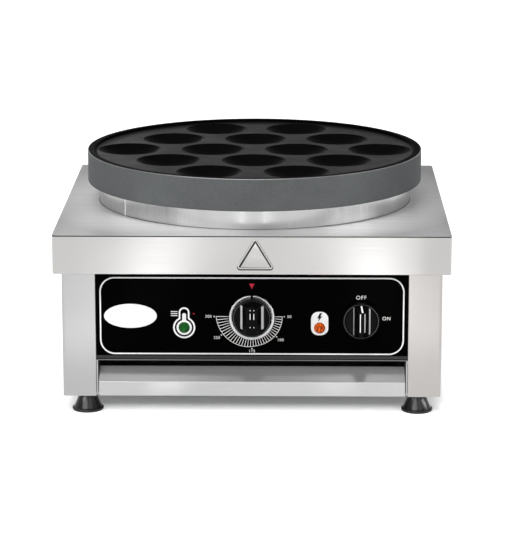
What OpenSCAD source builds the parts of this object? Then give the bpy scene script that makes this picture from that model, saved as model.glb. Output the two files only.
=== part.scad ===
// Electric pancake maker for a counter: a round cast plate with shallow round moulds, heated from below,
// on a folded steel body with a thermostat, a rotary switch, two lamps and a pull-out crumb tray.
// Millimetres. +Z is up and the controls face -Y. The origin is on the table, under the middle of the deck.

/* [Body] */
// Width of the deck
deck_w = 450; // [440:1:480]
// Depth of the deck
deck_d = 420; // [416:1:460]
// Height of the deck above the table
deck_z = 214; // [208:1:240]
// Height of the deck's folded skirt
skirt_h = 45; // [36:1:52]
// Outer radius of the deck's upright corners
deck_corner_r = 4; // [2.5:0.5:8]
// How far the deck overhangs each side of the body
side_overhang = 9; // [6:0.5:12]
// How far the deck overhangs the front and the back of the body
front_overhang = 12; // [8:0.5:16]
// Thickness of the steel sheet
sheet_t = 1.5; // [1:0.1:2]
// Outer radius of the sheet's folds
fold_r = 3; // [2.2:0.1:5]
// Width of the side panels' folded posts
post_w = 38; // [34:1:46]
// Width of the flange that carries the deck
top_flange_w = 18; // [14:1:24]
// Width of the raised triangle on the front skirt
badge_w = 41; // [24:1:42]
// Height of the raised triangle
badge_h = 35; // [20:1:36]
// Radius of the triangle's corners
badge_corner_r = 3.6; // [3.2:0.1:6]
// How far the triangle stands proud of the skirt
badge_t = 1.4; // [0.8:0.1:2]
// Width of the triangle's raised edge
badge_edge = 2.6; // [2:0.1:3]
// How far right of the middle the triangle sits
badge_x = 4; // [-20:1:20]

/* [Cooking plate] */
// Radius of the plate
plate_r = 200; // [196:1:204]
// Height of the plate's side
plate_h = 37.5; // [32:0.5:48]
// Height of the plate's lower edge above the deck
plate_lift = 23.5; // [16:0.5:32]
// How far the plate sits behind the middle of the deck
plate_y = 8; // [0:1:8]
// Thickness of the plate under its cooking surface
slab_t = 18; // [15:0.5:22]
// Thickness of the plate's outer wall
plate_wall = 8; // [6:0.5:11]
// Width of the raised rim
rim_w = 8; // [5:0.5:10]
// Height of the rim above the cooking surface
rim_h = 3; // [2:0.25:5]
// Bevel on the plate's outer edges
plate_bevel = 1.2; // [0.6:0.1:2]
// Radius of a mould
mould_r = 37.5; // [30:0.5:38]
// Depth of a mould
mould_depth = 10; // [6:0.5:10]
// Distance between moulds in a row
mould_pitch = 100; // [90:1:102]
// Distance between rows of moulds
row_pitch = 70; // [64:1:72]
// How far the collar stands inside the plate's edge
collar_inset = 13; // [12:0.5:18]
// Width of the collar's foot on the deck
collar_foot = 15; // [10:0.5:20]

/* [Heater] */
// Radius of the heating tube
tube_r = 4.2; // [3.5:0.1:4.5]
// Radius of the outer heating loop
outer_loop_r = 140; // [125:1:150]
// Radius of the inner heating loop
inner_loop_r = 95; // [85:1:100]
// Length of the heating tube's legs below the plate
leg_l = 56; // [48:1:60]
// Radius of the bend into a leg
leg_bend_r = 10; // [8:0.5:14]
// Radius of the plate that presses the tube up
press_r = 160; // [155:1:164]
// Thickness of the press plate
press_t = 3; // [2:0.5:4]
// Thickness of the heat pan's sheet
pan_t = 1; // [0.8:0.1:1.5]
// Height of the heat pan's wall
pan_h = 22; // [12:1:26]
// Width of a cross bar
bar_w = 30; // [20:1:36]
// Thickness of a cross bar
bar_t = 3; // [2.5:0.5:5]
// Radius of a plate stud
stud_r = 4; // [3:0.5:5]
// Depth of a stud's thread in the plate
stud_grip = 8; // [5:0.5:8]
// Length of the thermostat's bulb
bulb_l = 80; // [60:1:84]
// Radius of the thermostat's bulb
bulb_r = 3; // [2.5:0.1:3.5]
// Radius of the capillary tube
capillary_r = 1; // [0.8:0.1:1.2]

/* [Front panel] */
// Thickness of the black overlay
overlay_t = 0.8; // [0.5:0.1:1]
// Bare steel left below the overlay
panel_margin = 6; // [4:0.5:10]
// Depth of the panel's bottom lip
lip_d = 16; // [10:1:24]
// Height of the thermostat above the overlay's lower edge
thermostat_up = 46; // [40:1:60]
// Height of the switch above the overlay's lower edge
switch_up = 43; // [34:1:60]
// Distance of the switch from the middle
switch_x = 124; // [112:1:140]
// Height of the lamps above the overlay's lower edge
lamp_up = 33; // [24:1:50]
// Distance of the lamps from the middle
lamp_x = 77; // [60:1:84]
// Radius of the threaded bushes that hold the controls
bush_r = 5; // [4.5:0.1:6]
// Radius of the control shafts
shaft_r = 3; // [2.5:0.1:3.5]
// Width and height of the thermostat body
thermostat_w = 38; // [30:1:44]
// Depth of the thermostat body
thermostat_d = 24; // [18:1:30]
// Width and height of the switch body
switch_w = 40; // [30:1:44]
// Depth of the switch body
switch_d = 38; // [28:1:44]
// Radius of a lamp lens
lens_r = 6.2; // [5.8:0.1:8]
// Height of a lamp lens
lens_h = 4; // [3:0.25:6]
// Length of a lamp holder behind the panel
holder_l = 24; // [18:1:30]

/* [Knobs] */
// Radius of the thermostat knob
dial_r = 22.2; // [18:0.1:26]
// Width of the bright ring round the thermostat knob
ring_w = 3.5; // [2:0.1:5]
// Thickness of the bright ring
ring_t = 5; // [3:0.5:7]
// Width of the pointer notch in the bright ring
notch_w = 3; // [1.5:0.5:5]
// Radius of the switch knob
switch_knob_r = 21; // [16:0.5:24]
// Height of the knobs
knob_h = 24; // [18:0.5:30]
// Thickness of the knobs' round base
knob_base_t = 9; // [7:0.5:11]
// Width of the thermostat grip where it meets the base
dial_grip_w = 26; // [18:0.5:28]
// Width of the thermostat grip at its top
dial_grip_top = 13; // [8:0.5:16]
// Width of the switch grip where it meets the base
switch_grip_w = 18.5; // [14:0.5:22]
// Width of the switch grip at its top
switch_grip_top = 6; // [4:0.5:10]
// How far the ends of a grip draw in towards its top
grip_draft = 4; // [1:0.5:6]

/* [Crumb tray] */
// Thickness of the tray's sheet
tray_t = 1.2; // [0.8:0.1:1.5]
// Gap at each end of the tray's front
tray_gap = 3; // [2:0.5:5]
// Height of the upright strip of the tray's front
strip_h = 17; // [12:0.5:22]
// Rise and run of the sloped part of the tray's front
slope = 15; // [10:0.5:18]
// Depth of the tray from front to back
tray_d = 360; // [300:1:380]
// Height of the tray's walls
tray_wall_h = 20; // [14:0.5:22]
// Height of the finger slot above the tray's front
finger_slot = 10; // [8:0.5:14]
// Width of the runners' flanges
runner_flange = 20; // [18:0.5:24]

/* [Feet] */
// Height of the feet
foot_h = 23; // [18:0.5:30]
// Radius of a foot at its lip
foot_lip_r = 18.2; // [15:0.1:22]
// Radius of a foot at its top
foot_top_r = 9.8; // [8:0.1:12]
// Thickness of a foot's lip
foot_lip_t = 4; // [3:0.25:6]
// Distance of a foot's centre from the body's sides
foot_inset = 26; // [24:0.5:28]
// Height of the screw's seat inside a foot
foot_seat = 8; // [6:0.5:10]

/* [Rear and wiring] */
// Distance of the cable gland's middle from the post beside it
gland_inset = 28; // [20:1:50]
// Height of the cable gland above the divider shelf
gland_up = 32; // [24:1:60]
// Radius of the gland's thread
gland_r = 10; // [8:0.5:12]
// Radius of the gland's cable bore
gland_bore_r = 4.5; // [3:0.5:5]
// How far the gland stands out behind the rear panel
gland_out = 22.4; // [18:0.1:30]
// Number of vent slots in each rear group
vent_count = 9; // [4:1:12]
// Length of a vent slot
vent_l = 70; // [40:1:90]
// Height of a vent slot
vent_h = 4; // [3:0.5:5]
// Distance between vent slots
vent_pitch = 9; // [7:0.5:9]
// Distance of each vent group from the middle
vent_x = 75; // [60:1:80]
// Ways in the terminal block
block_ways = 6; // [6:1:8]
// Width of one way of the terminal block
way_w = 10; // [8:0.5:11]
// Depth of the terminal block
block_d = 24; // [18:1:30]
// Height of the terminal block
block_h = 18; // [14:1:24]
// Distance of the terminal block from the middle
block_x = 90; // [60:1:100]
// Radius of a lead
lead_r = 1.6; // [1.2:0.1:2]

/* [Fasteners] */
// Radius of the foot screws
foot_screw_r = 3; // [2.5:0.1:3]
// Radius of the small screws and studs
small_screw_r = 2; // [1.6:0.1:2.5]
// Radius of a small screw's head
small_head_r = 4; // [3.2:0.1:5]
// Height of a small screw's head
small_head_h = 2.2; // [1.5:0.1:3]
// Nut radius across corners, for each millimetre of thread radius
nut_ratio = 1.9; // [1.8:0.05:1.95]
// Nut thickness, for each millimetre of thread radius
nut_height_ratio = 1.6; // [1.2:0.1:1.7]

/* [Fits] */
// Gap between a moving piece and what it slides on
slide_gap = 0.3; // [0.2:0.05:0.5]
// Gap between the knobs and the overlay
knob_gap = 0.6; // [0.4:0.1:1]
// Gap round a shaft, a stud or a thread
shaft_gap = 0.05; // [0.03:0.01:0.08]
// Gap round a screw or a tube that passes through a sheet
hole_gap = 0.3; // [0.2:0.05:0.5]
// Gap left at the edges of the inner sheets
edge_gap = 0.5; // [0.3:0.1:1]

/* [Hidden] */
eps = 0.5;
SIDES = [-1, 1];

steel_color = [0.76, 0.75, 0.73];
plain_steel_color = [0.66, 0.67, 0.68];
iron_color = [0.30, 0.32, 0.33];
black_color = [0.05, 0.05, 0.05];
rubber_color = [0.10, 0.10, 0.10];
brass_color = [0.78, 0.62, 0.30];
wool_color = [0.90, 0.88, 0.82];
porcelain_color = [0.92, 0.91, 0.87];
lead_color = [0.75, 0.12, 0.10];
green_color = [0.10, 0.55, 0.20];
orange_color = [0.90, 0.40, 0.08];

// The body's box: half its width and depth, its bottom and its top
half_w = deck_w / 2 - side_overhang;
half_d = deck_d / 2 - front_overhang;
body_z0 = foot_h;
body_z1 = deck_z - sheet_t;
opening = half_w - post_w;
inner_w = half_w - sheet_t - edge_gap;
inner_d = half_d - sheet_t - edge_gap;

// Heights from the base pan up to the shelf
pan_top = body_z0 + 2 * sheet_t;
tray_z0 = pan_top + slide_gap;
tray_front_z0 = body_z0 + slide_gap;
strip_top = body_z0 + strip_h;
tray_top = strip_top + slope;
panel_z0 = tray_top + finger_slot;
shelf_top = panel_z0 + sheet_t;
tray_half = opening - tray_gap;
runner_gap = 1;
runner_x = tray_half + runner_gap;

// The front panel and its overlay, from back to front
panel_front = sheet_t - half_d;
panel_back = panel_front + sheet_t;
overlay_front = panel_front - overlay_t;
overlay_z0 = panel_z0 + panel_margin;
panel_headroom = 8;
panel_z1 = body_z1 - panel_headroom;
overlay_gap = 0.6;
thermostat_z = overlay_z0 + thermostat_up;
switch_z = overlay_z0 + switch_up;
lamp_z = overlay_z0 + lamp_up;

// The cooking plate's levels, and the ring that carries it
plate_z0 = deck_z + plate_lift;
plate_z1 = plate_z0 + plate_h;
cook_z = plate_z1 - rim_h;
plate_under = cook_z - slab_t;
collar_r = plate_r - collar_inset;
hole_r = collar_r - collar_foot;

// Moulds: rows of 2, 3, 4, 3 and 2
mould_rows = [-2:2];
longest_row = 4;
mould_sphere_r = (mould_r * mould_r + mould_depth * mould_depth) / (2 * mould_depth);
moulds = [for (row = mould_rows) let (count = longest_row - abs(row)) for (i = [0:count - 1])
    [(i - (count - 1) / 2) * mould_pitch, row * row_pitch]];

// The heater's layers below the plate
tube_z = plate_under - tube_r - slide_gap;
press_top = tube_z - tube_r - slide_gap;
press_z = press_top - press_t;
pan_gap = 2;
pan_r = hole_r - pan_gap;
pad_z0 = body_z1 + pan_t;
pad_r = pan_r - pan_t - edge_gap;
bar_z0 = body_z1 - bar_t;
bar_half = half_w - top_flange_w - 2 * edge_gap;

// Studs stand midway between three moulds
stud_x = mould_pitch / 2;
stud_y = row_pitch * 2 / 3;
studs = [for (sx = SIDES, sy = SIDES) [sx * stud_x, plate_y + sy * stud_y]];
stud_nut_r = stud_r * nut_ratio;
stud_nut_h = stud_r * nut_height_ratio;
stud_tail = 3;
stud_z0 = bar_z0 - stud_nut_h - stud_tail;

// The heating tube: two loops joined by a bend, with both legs at the back
loop_start = 98;
loop_end = 442;
loop_step = 8;
turn_steps = 10;
bend_steps = 5;
loop_mid_r = (outer_loop_r + inner_loop_r) / 2;
turn_r = (outer_loop_r - inner_loop_r) / 2;
leg_z0 = tube_z - leg_l;
bend_inner_r = leg_bend_r - tube_r;
bend_rise = bend_inner_r - slide_gap;
leg_hole_r = leg_bend_r - sqrt(bend_inner_r * bend_inner_r - bend_rise * bend_rise) + edge_gap;

// The thermostat's bulb and capillary
bulb_z = plate_under - bulb_r - slide_gap;
capillary_bend_r = 5;
capillary_lead = 3;
capillary_sag = 54;
capillary_x = -bulb_l / 2 - capillary_lead - capillary_bend_r;
capillary_end = [-8, panel_back + thermostat_d / 2, thermostat_z + thermostat_w / 2 + slide_gap];

// Knobs, measured forward from the overlay
ring_r = dial_r + shaft_gap + ring_w;
bush_nut_wall = 3;
bush_nut_r = bush_r + bush_nut_wall;
bush_nut_h = 2;
bush_out = 3.2;
hollow_gap = 1;
hollow_r = bush_nut_r + hollow_gap;
hollow_d = bush_out + hollow_gap;
shaft_in = 12;
knob_crown = 6;
shaft_top = knob_h - knob_crown;

// Spade terminals behind the controls
tab_w = 6.3;
tab_t = 0.8;
tab_l = 8;
thermostat_tab_x = 10;
switch_tab_x = 12;
lamp_tab_x = 3;

// Feet
foot_x = half_w - foot_inset;
foot_y = half_d - foot_inset;
feet = [for (sx = SIDES, sy = SIDES) [sx * foot_x, sy * foot_y]];
foot_hole_r = foot_screw_r + hole_gap;
foot_head_r = 5.5;
foot_head_h = 3.5;
foot_head_room = 1.5;
foot_recess_r = foot_head_r + foot_head_room;
foot_nut_r = foot_screw_r * nut_ratio;
foot_nut_h = foot_screw_r * nut_height_ratio;
foot_nut_z = pan_top + sheet_t;
foot_screw_tail = 2;

// Small studs and screws
small_hole_r = small_screw_r + hole_gap;
small_nut_r = small_screw_r * nut_ratio;
small_nut_h = small_screw_r * nut_height_ratio;
small_tail = 3;
deck_stud_x = half_w - top_flange_w / 2;
deck_stud_inset = 80;
deck_stud_y = half_d - deck_stud_inset;
post_mid = opening + post_w / 2;
panel_stud_inset = 24;
panel_stud_z = [panel_z0 + panel_stud_inset, panel_z1 - panel_stud_inset];
rear_edge = 4;
rear_z0 = body_z0 + rear_edge;
rear_z1 = body_z1 - panel_headroom;
rear_screw_inset = 18;
rear_screw_z = [rear_z0 + rear_screw_inset, (rear_z0 + rear_z1) / 2, rear_z1 - rear_screw_inset];
shelf_screw_x = runner_x + runner_flange / 2;
shelf_screw_inset = 60;
shelf_screw_y = half_d - shelf_screw_inset;
shelf_screw_l = 8;

// The cable gland, behind the rear panel
rear_face = half_d + sheet_t;
gland_x = opening - gland_inset;
gland_z = shelf_top + gland_up;
gland_hex_wall = 3.5;
gland_hex_r = gland_r + gland_hex_wall;
gland_hex_t = 6;
gland_thread_in = 12;
locknut_t = 4;
gland_wall = 3;
gland_inner_r = gland_r - gland_wall;
cap_tip_wall = 2;
cap_tip_r = gland_inner_r + cap_tip_wall;

// The terminal block and the earth stud stand on the shelf
block_inset = 55;
block_y = half_d - block_inset;
block_front = block_y - block_d / 2;
way_z = shelf_top + block_h / 2;
earth_x = gland_x;
earth_inset = 99;
earth_y = half_d - earth_inset;
earth_r = 3;
earth_h = 20;

// Steps along a curved lead or tube
curve_steps = 14;

// Points along an arc, from one angle to another
function arc(c, r, a0, a1, steps = 6) =
    [for (i = [0:steps]) let (a = a0 + (a1 - a0) * i / steps) [c[0] + r * cos(a), c[1] + r * sin(a)]];

// Outline of a rectangle with round corners
function rounded(w, d, r, steps = 6) = concat(
    arc([w / 2 - r, d / 2 - r], r, 0, 90, steps),
    arc([r - w / 2, d / 2 - r], r, 90, 180, steps),
    arc([r - w / 2, r - d / 2], r, 180, 270, steps),
    arc([w / 2 - r, r - d / 2], r, 270, 360, steps));

// Points along a smooth curve that leaves one point and reaches another in given directions
function curve(from, leave, to, reach, steps) = [for (i = [0:steps]) let (u = i / steps, v = 1 - u)
    v * v * v * from + 3 * u * v * v * (from + leave) + 3 * u * u * v * (to - reach) + u * u * u * to];

// Directions and side vectors along a path, carried from point to point without twisting
function unit(v) = v / norm(v);
function across(v) = unit(cross(v, abs(v[2]) < 0.9 ? [0, 0, 1] : [1, 0, 0]));
function directions(path) = let (last = len(path) - 1)
    [for (i = [0:last]) unit(path[min(i + 1, last)] - path[max(i - 1, 0)])];
function carried(dirs) = [for (i = 0, n = across(dirs[0]); i < len(dirs); i = i + 1,
    n = i < len(dirs) ? unit(n - (n * dirs[i]) * dirs[i]) : n) n];

// A round bar swept along a path
module swept(path, r, sides = 8) {
    dirs = directions(path);
    normals = carried(dirs);
    last = len(path) - 1;
    points = [for (i = [0:last], k = [0:sides - 1]) let (a = 360 * k / sides)
        path[i] + r * (cos(a) * normals[i] + sin(a) * cross(dirs[i], normals[i]))];
    start_cap = [for (k = [0:sides - 1]) k];
    end_cap = [for (k = [sides - 1:-1:0]) last * sides + k];
    walls = [for (i = [0:last - 1], k = [0:sides - 1])
        let (a = i * sides + k, b = i * sides + (k + 1) % sides)
        each [[a, a + sides, b + sides], [a, b + sides, b]]];
    polyhedron(points, concat([start_cap, end_cap], walls));
}

// Places a shape so that its own Z points forward, or backward, from a point
module forward(x, y, z) {
    translate([x, y, z]) rotate([90, 0, 0]) children();
}
module backward(x, y, z) {
    translate([x, y, z]) rotate([-90, 0, 0]) children();
}

// Extrudes an outline drawn in Y and Z along X, equally to both sides
module along_x(half) {
    rotate([90, 0, 90]) linear_extrude(2 * half, center = true) children();
}

// Extrudes an outline drawn in X and Z along Y, equally to both sides
module along_y(half) {
    rotate([90, 0, 0]) linear_extrude(2 * half, center = true) children();
}

// A hexagon nut with a round hole
module nut(r, bore, h) {
    difference() {
        cylinder(r = r, h = h, $fn = 6);
        translate([0, 0, -eps]) cylinder(r = bore, h = h + 2 * eps);
    }
}

// A pan-head screw with its head above the origin and its shank below
module screw(shank_r, shank_l, head_r, head_h) {
    slot_w = head_r / 3;
    difference() {
        union() {
            cylinder(r1 = head_r, r2 = head_r * 0.75, h = head_h);
            translate([0, 0, -shank_l]) cylinder(r = shank_r, h = shank_l + head_h / 2);
        }
        translate([-slot_w / 2, -head_r, head_h / 2]) cube([slot_w, 2 * head_r, head_h]);
    }
}

// Holes through the sheets under a foot
module foot_holes(z, h) {
    for (foot = feet) translate([foot[0], foot[1], z]) cylinder(r = foot_hole_r, h = h);
}

// Holes for the plate studs
module stud_holes(z, h) {
    for (stud = studs) translate([stud[0], stud[1], z]) cylinder(r = stud_r + hole_gap, h = h);
}

// Holes for the heating tube's legs and the capillary
module heater_holes(z, h) {
    for (leg = legs) translate([leg[0], leg[1], z]) cylinder(r = leg_hole_r, h = h);
    translate([capillary_x, plate_y, z]) cylinder(r = capillary_r + edge_gap, h = h);
}

// Holes in the front panel and its overlay for the controls and lamps
module control_holes(y, l) {
    for (spot = [[0, thermostat_z], [switch_x, switch_z], [-lamp_x, lamp_z], [lamp_x, lamp_z]])
        forward(spot[0], y, spot[1]) cylinder(r = bush_r + hole_gap, h = l);
}

// Deck and body sheets

module deck() {
    color(steel_color) difference() {
        translate([0, 0, deck_z - skirt_h]) linear_extrude(skirt_h)
            polygon(rounded(deck_w, deck_d, deck_corner_r));
        translate([0, 0, deck_z - skirt_h - eps]) linear_extrude(skirt_h - sheet_t + eps)
            polygon(rounded(deck_w - 2 * sheet_t, deck_d - 2 * sheet_t, deck_corner_r - sheet_t));
        translate([0, plate_y, body_z1 - eps]) cylinder(r = hole_r, h = sheet_t + 2 * eps);
    }
}

// A triangle with round corners, standing on its base
module badge_outline() {
    badge_sides = 32;
    hull() {
        for (sx = SIDES) translate([sx * (badge_w / 2 - badge_corner_r), badge_corner_r])
            circle(badge_corner_r, $fn = badge_sides);
        translate([0, badge_h - badge_corner_r]) circle(badge_corner_r, $fn = badge_sides);
    }
}

module skirt_badge() {
    badge_z = deck_z - skirt_h / 2 - badge_h / 2;
    field_t = badge_t / 2;
    color(steel_color) forward(badge_x, -deck_d / 2, badge_z) difference() {
        linear_extrude(badge_t) badge_outline();
        translate([0, 0, field_t]) linear_extrude(badge_t) offset(-badge_edge) badge_outline();
    }
}

module side_panel(side) {
    wall_h = body_z1 - body_z0;
    flange_half = half_d - sheet_t / 2;
    mirror([side < 0 ? 1 : 0, 0, 0]) difference() {
        union() {
            translate([0, 0, body_z0]) linear_extrude(wall_h) difference() {
                polygon(rounded(2 * half_w, 2 * half_d, fold_r));
                polygon(rounded(2 * (half_w - sheet_t), 2 * (half_d - sheet_t), fold_r - sheet_t));
                translate([-half_w - eps, -half_d - eps])
                    square([half_w + opening + eps, 2 * (half_d + eps)]);
            }
            translate([opening, -flange_half, body_z0])
                cube([post_w - sheet_t / 2, 2 * flange_half, sheet_t]);
            translate([half_w - top_flange_w, -flange_half, body_z1 - sheet_t])
                cube([top_flange_w - sheet_t / 2, 2 * flange_half, sheet_t]);
        }
        foot_holes(body_z0 - eps, sheet_t + 2 * eps);
        for (sy = SIDES) translate([deck_stud_x, sy * deck_stud_y, body_z1 - sheet_t - eps])
            cylinder(r = small_hole_r, h = sheet_t + 2 * eps);
        for (z = rear_screw_z) forward(post_mid, half_d + eps, z)
            cylinder(r = small_hole_r, h = sheet_t + 2 * eps);
    }
}

module left_side_panel() {
    color(steel_color) side_panel(-1);
}

module right_side_panel() {
    color(steel_color) side_panel(1);
}

module base_pan() {
    rear_fold_h = 12;
    color(plain_steel_color) difference() {
        union() {
            translate([-inner_w, -inner_d, body_z0 + sheet_t]) cube([2 * inner_w, 2 * inner_d, sheet_t]);
            translate([-tray_half, inner_d - sheet_t, body_z0 + sheet_t])
                cube([2 * tray_half, sheet_t, rear_fold_h]);
        }
        foot_holes(body_z0, pan_top);
    }
}

module rear_panel() {
    half = half_w - rear_edge;
    vent_z0 = (rear_z0 + rear_z1) / 2 + vent_pitch;
    color(steel_color) difference() {
        translate([-half, half_d, rear_z0]) cube([2 * half, sheet_t, rear_z1 - rear_z0]);
        for (sx = SIDES, z = rear_screw_z)
            backward(sx * post_mid, half_d - eps, z) cylinder(r = small_hole_r, h = sheet_t + 2 * eps);
        for (sx = SIDES, i = [0:vent_count - 1])
            backward(sx * vent_x, half_d - eps, vent_z0 + (i - vent_count / 2 + 1 / 2) * vent_pitch)
                linear_extrude(sheet_t + 2 * eps) polygon(rounded(vent_l, vent_h, vent_h / 3, 2));
        backward(gland_x, half_d - eps, gland_z) cylinder(r = gland_r + hole_gap, h = sheet_t + 2 * eps);
    }
}

module front_panel() {
    fold = [panel_front + fold_r, panel_z0 + fold_r];
    lip_end = panel_back + lip_d;
    outline = concat(
        [[panel_front, panel_z1]],
        arc(fold, fold_r, 180, 270),
        [[lip_end, panel_z0], [lip_end, shelf_top]],
        arc(fold, fold_r - sheet_t, 270, 180),
        [[panel_back, panel_z1]]);
    color(steel_color) difference() {
        along_x(half_w - fold_r - edge_gap) polygon(outline);
        control_holes(panel_back + eps, sheet_t + 2 * eps);
        for (sx = SIDES, z = panel_stud_z)
            forward(sx * post_mid, panel_back + eps, z) cylinder(r = small_hole_r, h = sheet_t + 2 * eps);
    }
}

module panel_overlay() {
    half = opening - overlay_gap;
    color(black_color) difference() {
        translate([-half, overlay_front, overlay_z0]) cube([2 * half, overlay_t, panel_z1 - overlay_z0]);
        control_holes(panel_front + eps, overlay_t + 2 * eps);
    }
}

module divider_shelf() {
    shelf_front = panel_back + lip_d + edge_gap;
    color(plain_steel_color) difference() {
        translate([-inner_w, shelf_front, panel_z0]) cube([2 * inner_w, inner_d - shelf_front, sheet_t]);
        for (sx = SIDES, sy = SIDES) translate([sx * shelf_screw_x, sy * shelf_screw_y, panel_z0 - eps])
            cylinder(r = small_hole_r, h = sheet_t + 2 * eps);
    }
}

module tray_runner(side) {
    top = panel_z0 - sheet_t;
    mirror([side < 0 ? 1 : 0, 0, 0]) difference() {
        union() {
            translate([runner_x, -inner_d, pan_top]) cube([sheet_t, 2 * inner_d, panel_z0 - pan_top]);
            for (z = [pan_top, top]) translate([runner_x, -inner_d, z])
                cube([runner_flange, 2 * inner_d, sheet_t]);
        }
        foot_holes(pan_top - eps, sheet_t + 2 * eps);
        for (sy = SIDES) translate([shelf_screw_x, sy * shelf_screw_y, top - eps])
            cylinder(r = small_hole_r, h = sheet_t + 2 * eps);
    }
}

module left_tray_runner() {
    color(plain_steel_color) tray_runner(-1);
}

module right_tray_runner() {
    color(plain_steel_color) tray_runner(1);
}

// Cooking plate and what heats it

module plate_collar() {
    color(steel_color) translate([0, plate_y, 0]) rotate_extrude() {
        translate([collar_r - sheet_t, deck_z]) square([sheet_t, plate_under - deck_z]);
        translate([hole_r, deck_z]) square([collar_foot - sheet_t / 2, sheet_t]);
    }
}

module mould_cutter() {
    rotate_extrude() intersection() {
        translate([0, mould_sphere_r - mould_depth]) circle(mould_sphere_r, $fn = 96);
        translate([0, -2 * mould_depth]) square([mould_r, 2 * mould_depth + eps]);
    }
}

module cooking_plate() {
    inner_rim = plate_r - rim_w;
    outline = [
        [0, plate_under],
        [plate_r - plate_wall, plate_under],
        [plate_r - plate_wall, plate_z0],
        [plate_r - plate_bevel, plate_z0],
        [plate_r, plate_z0 + plate_bevel],
        [plate_r, plate_z1 - plate_bevel],
        [plate_r - plate_bevel, plate_z1],
        [inner_rim, plate_z1],
        [inner_rim - rim_h, cook_z],
        [0, cook_z]
    ];
    color(iron_color) difference() {
        translate([0, plate_y, 0]) rotate_extrude() polygon(outline);
        for (mould = moulds) translate([mould[0], plate_y + mould[1], cook_z]) mould_cutter();
        for (stud = studs) translate([stud[0], stud[1], plate_under - eps])
            cylinder(r = stud_r + shaft_gap, h = stud_grip + eps);
    }
}

// The heating tube's path about the plate's centre: up a leg, round the outer loop, back round the inner loop
function on_loop(r, a) = [r * cos(a), r * sin(a), tube_z];
loop_heading = [-sin(loop_start), cos(loop_start), 0];
outer_corner = on_loop(outer_loop_r, loop_start) - leg_bend_r * loop_heading;
inner_corner = on_loop(inner_loop_r, loop_start) - leg_bend_r * loop_heading;
legs = [for (corner = [outer_corner, inner_corner]) [corner[0], corner[1] + plate_y]];
turn_centre = [loop_mid_r * cos(loop_end), loop_mid_r * sin(loop_end)];

function leg_path(corner) = concat(
    [[corner[0], corner[1], leg_z0]],
    [for (i = [0:bend_steps - 1]) let (a = 90 * i / bend_steps)
        corner + leg_bend_r * ((1 - cos(a)) * loop_heading + [0, 0, sin(a) - 1])]);
function reversed(list) = [for (i = [len(list) - 1:-1:0]) list[i]];
function loop_path(r, a0, a1) = let (steps = ceil(abs(a1 - a0) / loop_step))
    [for (i = [0:steps]) on_loop(r, a0 + (a1 - a0) * i / steps)];
tube_path = concat(
    leg_path(outer_corner),
    loop_path(outer_loop_r, loop_start, loop_end),
    [for (i = [1:turn_steps - 1]) let (a = loop_end + 180 * i / turn_steps)
        [turn_centre[0] + turn_r * cos(a), turn_centre[1] + turn_r * sin(a), tube_z]],
    loop_path(inner_loop_r, loop_end, loop_start),
    reversed(leg_path(inner_corner)));

module heating_element() {
    color(plain_steel_color) translate([0, plate_y, 0]) swept(tube_path, tube_r);
}

module press_plate() {
    color(plain_steel_color) difference() {
        translate([0, plate_y, press_z]) cylinder(r = press_r, h = press_t);
        stud_holes(press_z - eps, press_t + 2 * eps);
        heater_holes(press_z - eps, press_t + 2 * eps);
    }
}

module insulation_pad() {
    pad_h = press_z - pad_z0;
    color(wool_color) difference() {
        translate([0, plate_y, pad_z0]) cylinder(r = pad_r, h = pad_h);
        stud_holes(pad_z0 - eps, pad_h + 2 * eps);
        heater_holes(pad_z0 - eps, pad_h + 2 * eps);
    }
}

module heat_pan() {
    color(plain_steel_color) difference() {
        translate([0, plate_y, body_z1]) cylinder(r = pan_r, h = pan_h);
        translate([0, plate_y, pad_z0]) cylinder(r = pan_r - pan_t, h = pan_h);
        stud_holes(body_z1 - eps, pan_t + 2 * eps);
        heater_holes(body_z1 - eps, pan_t + 2 * eps);
    }
}

module cross_bar(side) {
    color(plain_steel_color) difference() {
        translate([-bar_half, plate_y + side * stud_y - bar_w / 2, bar_z0])
            cube([2 * bar_half, bar_w, bar_t]);
        stud_holes(bar_z0 - eps, bar_t + 2 * eps);
    }
}

module front_cross_bar() {
    cross_bar(-1);
}

module rear_cross_bar() {
    cross_bar(1);
}

module plate_studs() {
    color(plain_steel_color) for (stud = studs)
        translate([stud[0], stud[1], stud_z0]) cylinder(r = stud_r, h = plate_under + stud_grip - stud_z0);
}

module plate_nuts() {
    color(plain_steel_color) for (stud = studs)
        translate([stud[0], stud[1], bar_z0 - stud_nut_h]) nut(stud_nut_r, stud_r + shaft_gap, stud_nut_h);
}

// Thermostat, switch and lamps

module thermostat_bulb() {
    color(brass_color) translate([-bulb_l / 2, plate_y, bulb_z]) rotate([0, 90, 0])
        cylinder(r = bulb_r, h = bulb_l);
}

module bulb_saddles() {
    saddle_w = 10;
    saddle_at = bulb_l / 4;
    color(plain_steel_color) difference() {
        for (sx = SIDES) translate([sx * saddle_at - saddle_w / 2, plate_y - saddle_w / 2, press_top])
            cube([saddle_w, saddle_w, bulb_z - press_top]);
        translate([-bulb_l / 2, plate_y, bulb_z]) rotate([0, 90, 0])
            cylinder(r = bulb_r + shaft_gap, h = bulb_l);
    }
}

module thermostat_capillary() {
    bend = [capillary_x + capillary_bend_r, bulb_z - capillary_bend_r];
    fall = [capillary_x, plate_y, bar_z0];
    leave = [0, 0, -capillary_sag];
    path = concat(
        [[-bulb_l / 2, plate_y, bulb_z]],
        [for (p = arc(bend, capillary_bend_r, 90, 180)) [p[0], plate_y, p[1]]],
        curve(fall, leave, capillary_end, leave, curve_steps));
    color(brass_color) swept(path, capillary_r);
}

// A pair of spade terminals at the back of a control
module tabs(x, y, z, spread) {
    for (sx = SIDES) translate([x + sx * spread - tab_t / 2, y, z - tab_w / 2]) cube([tab_t, tab_l, tab_w]);
}

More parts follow.
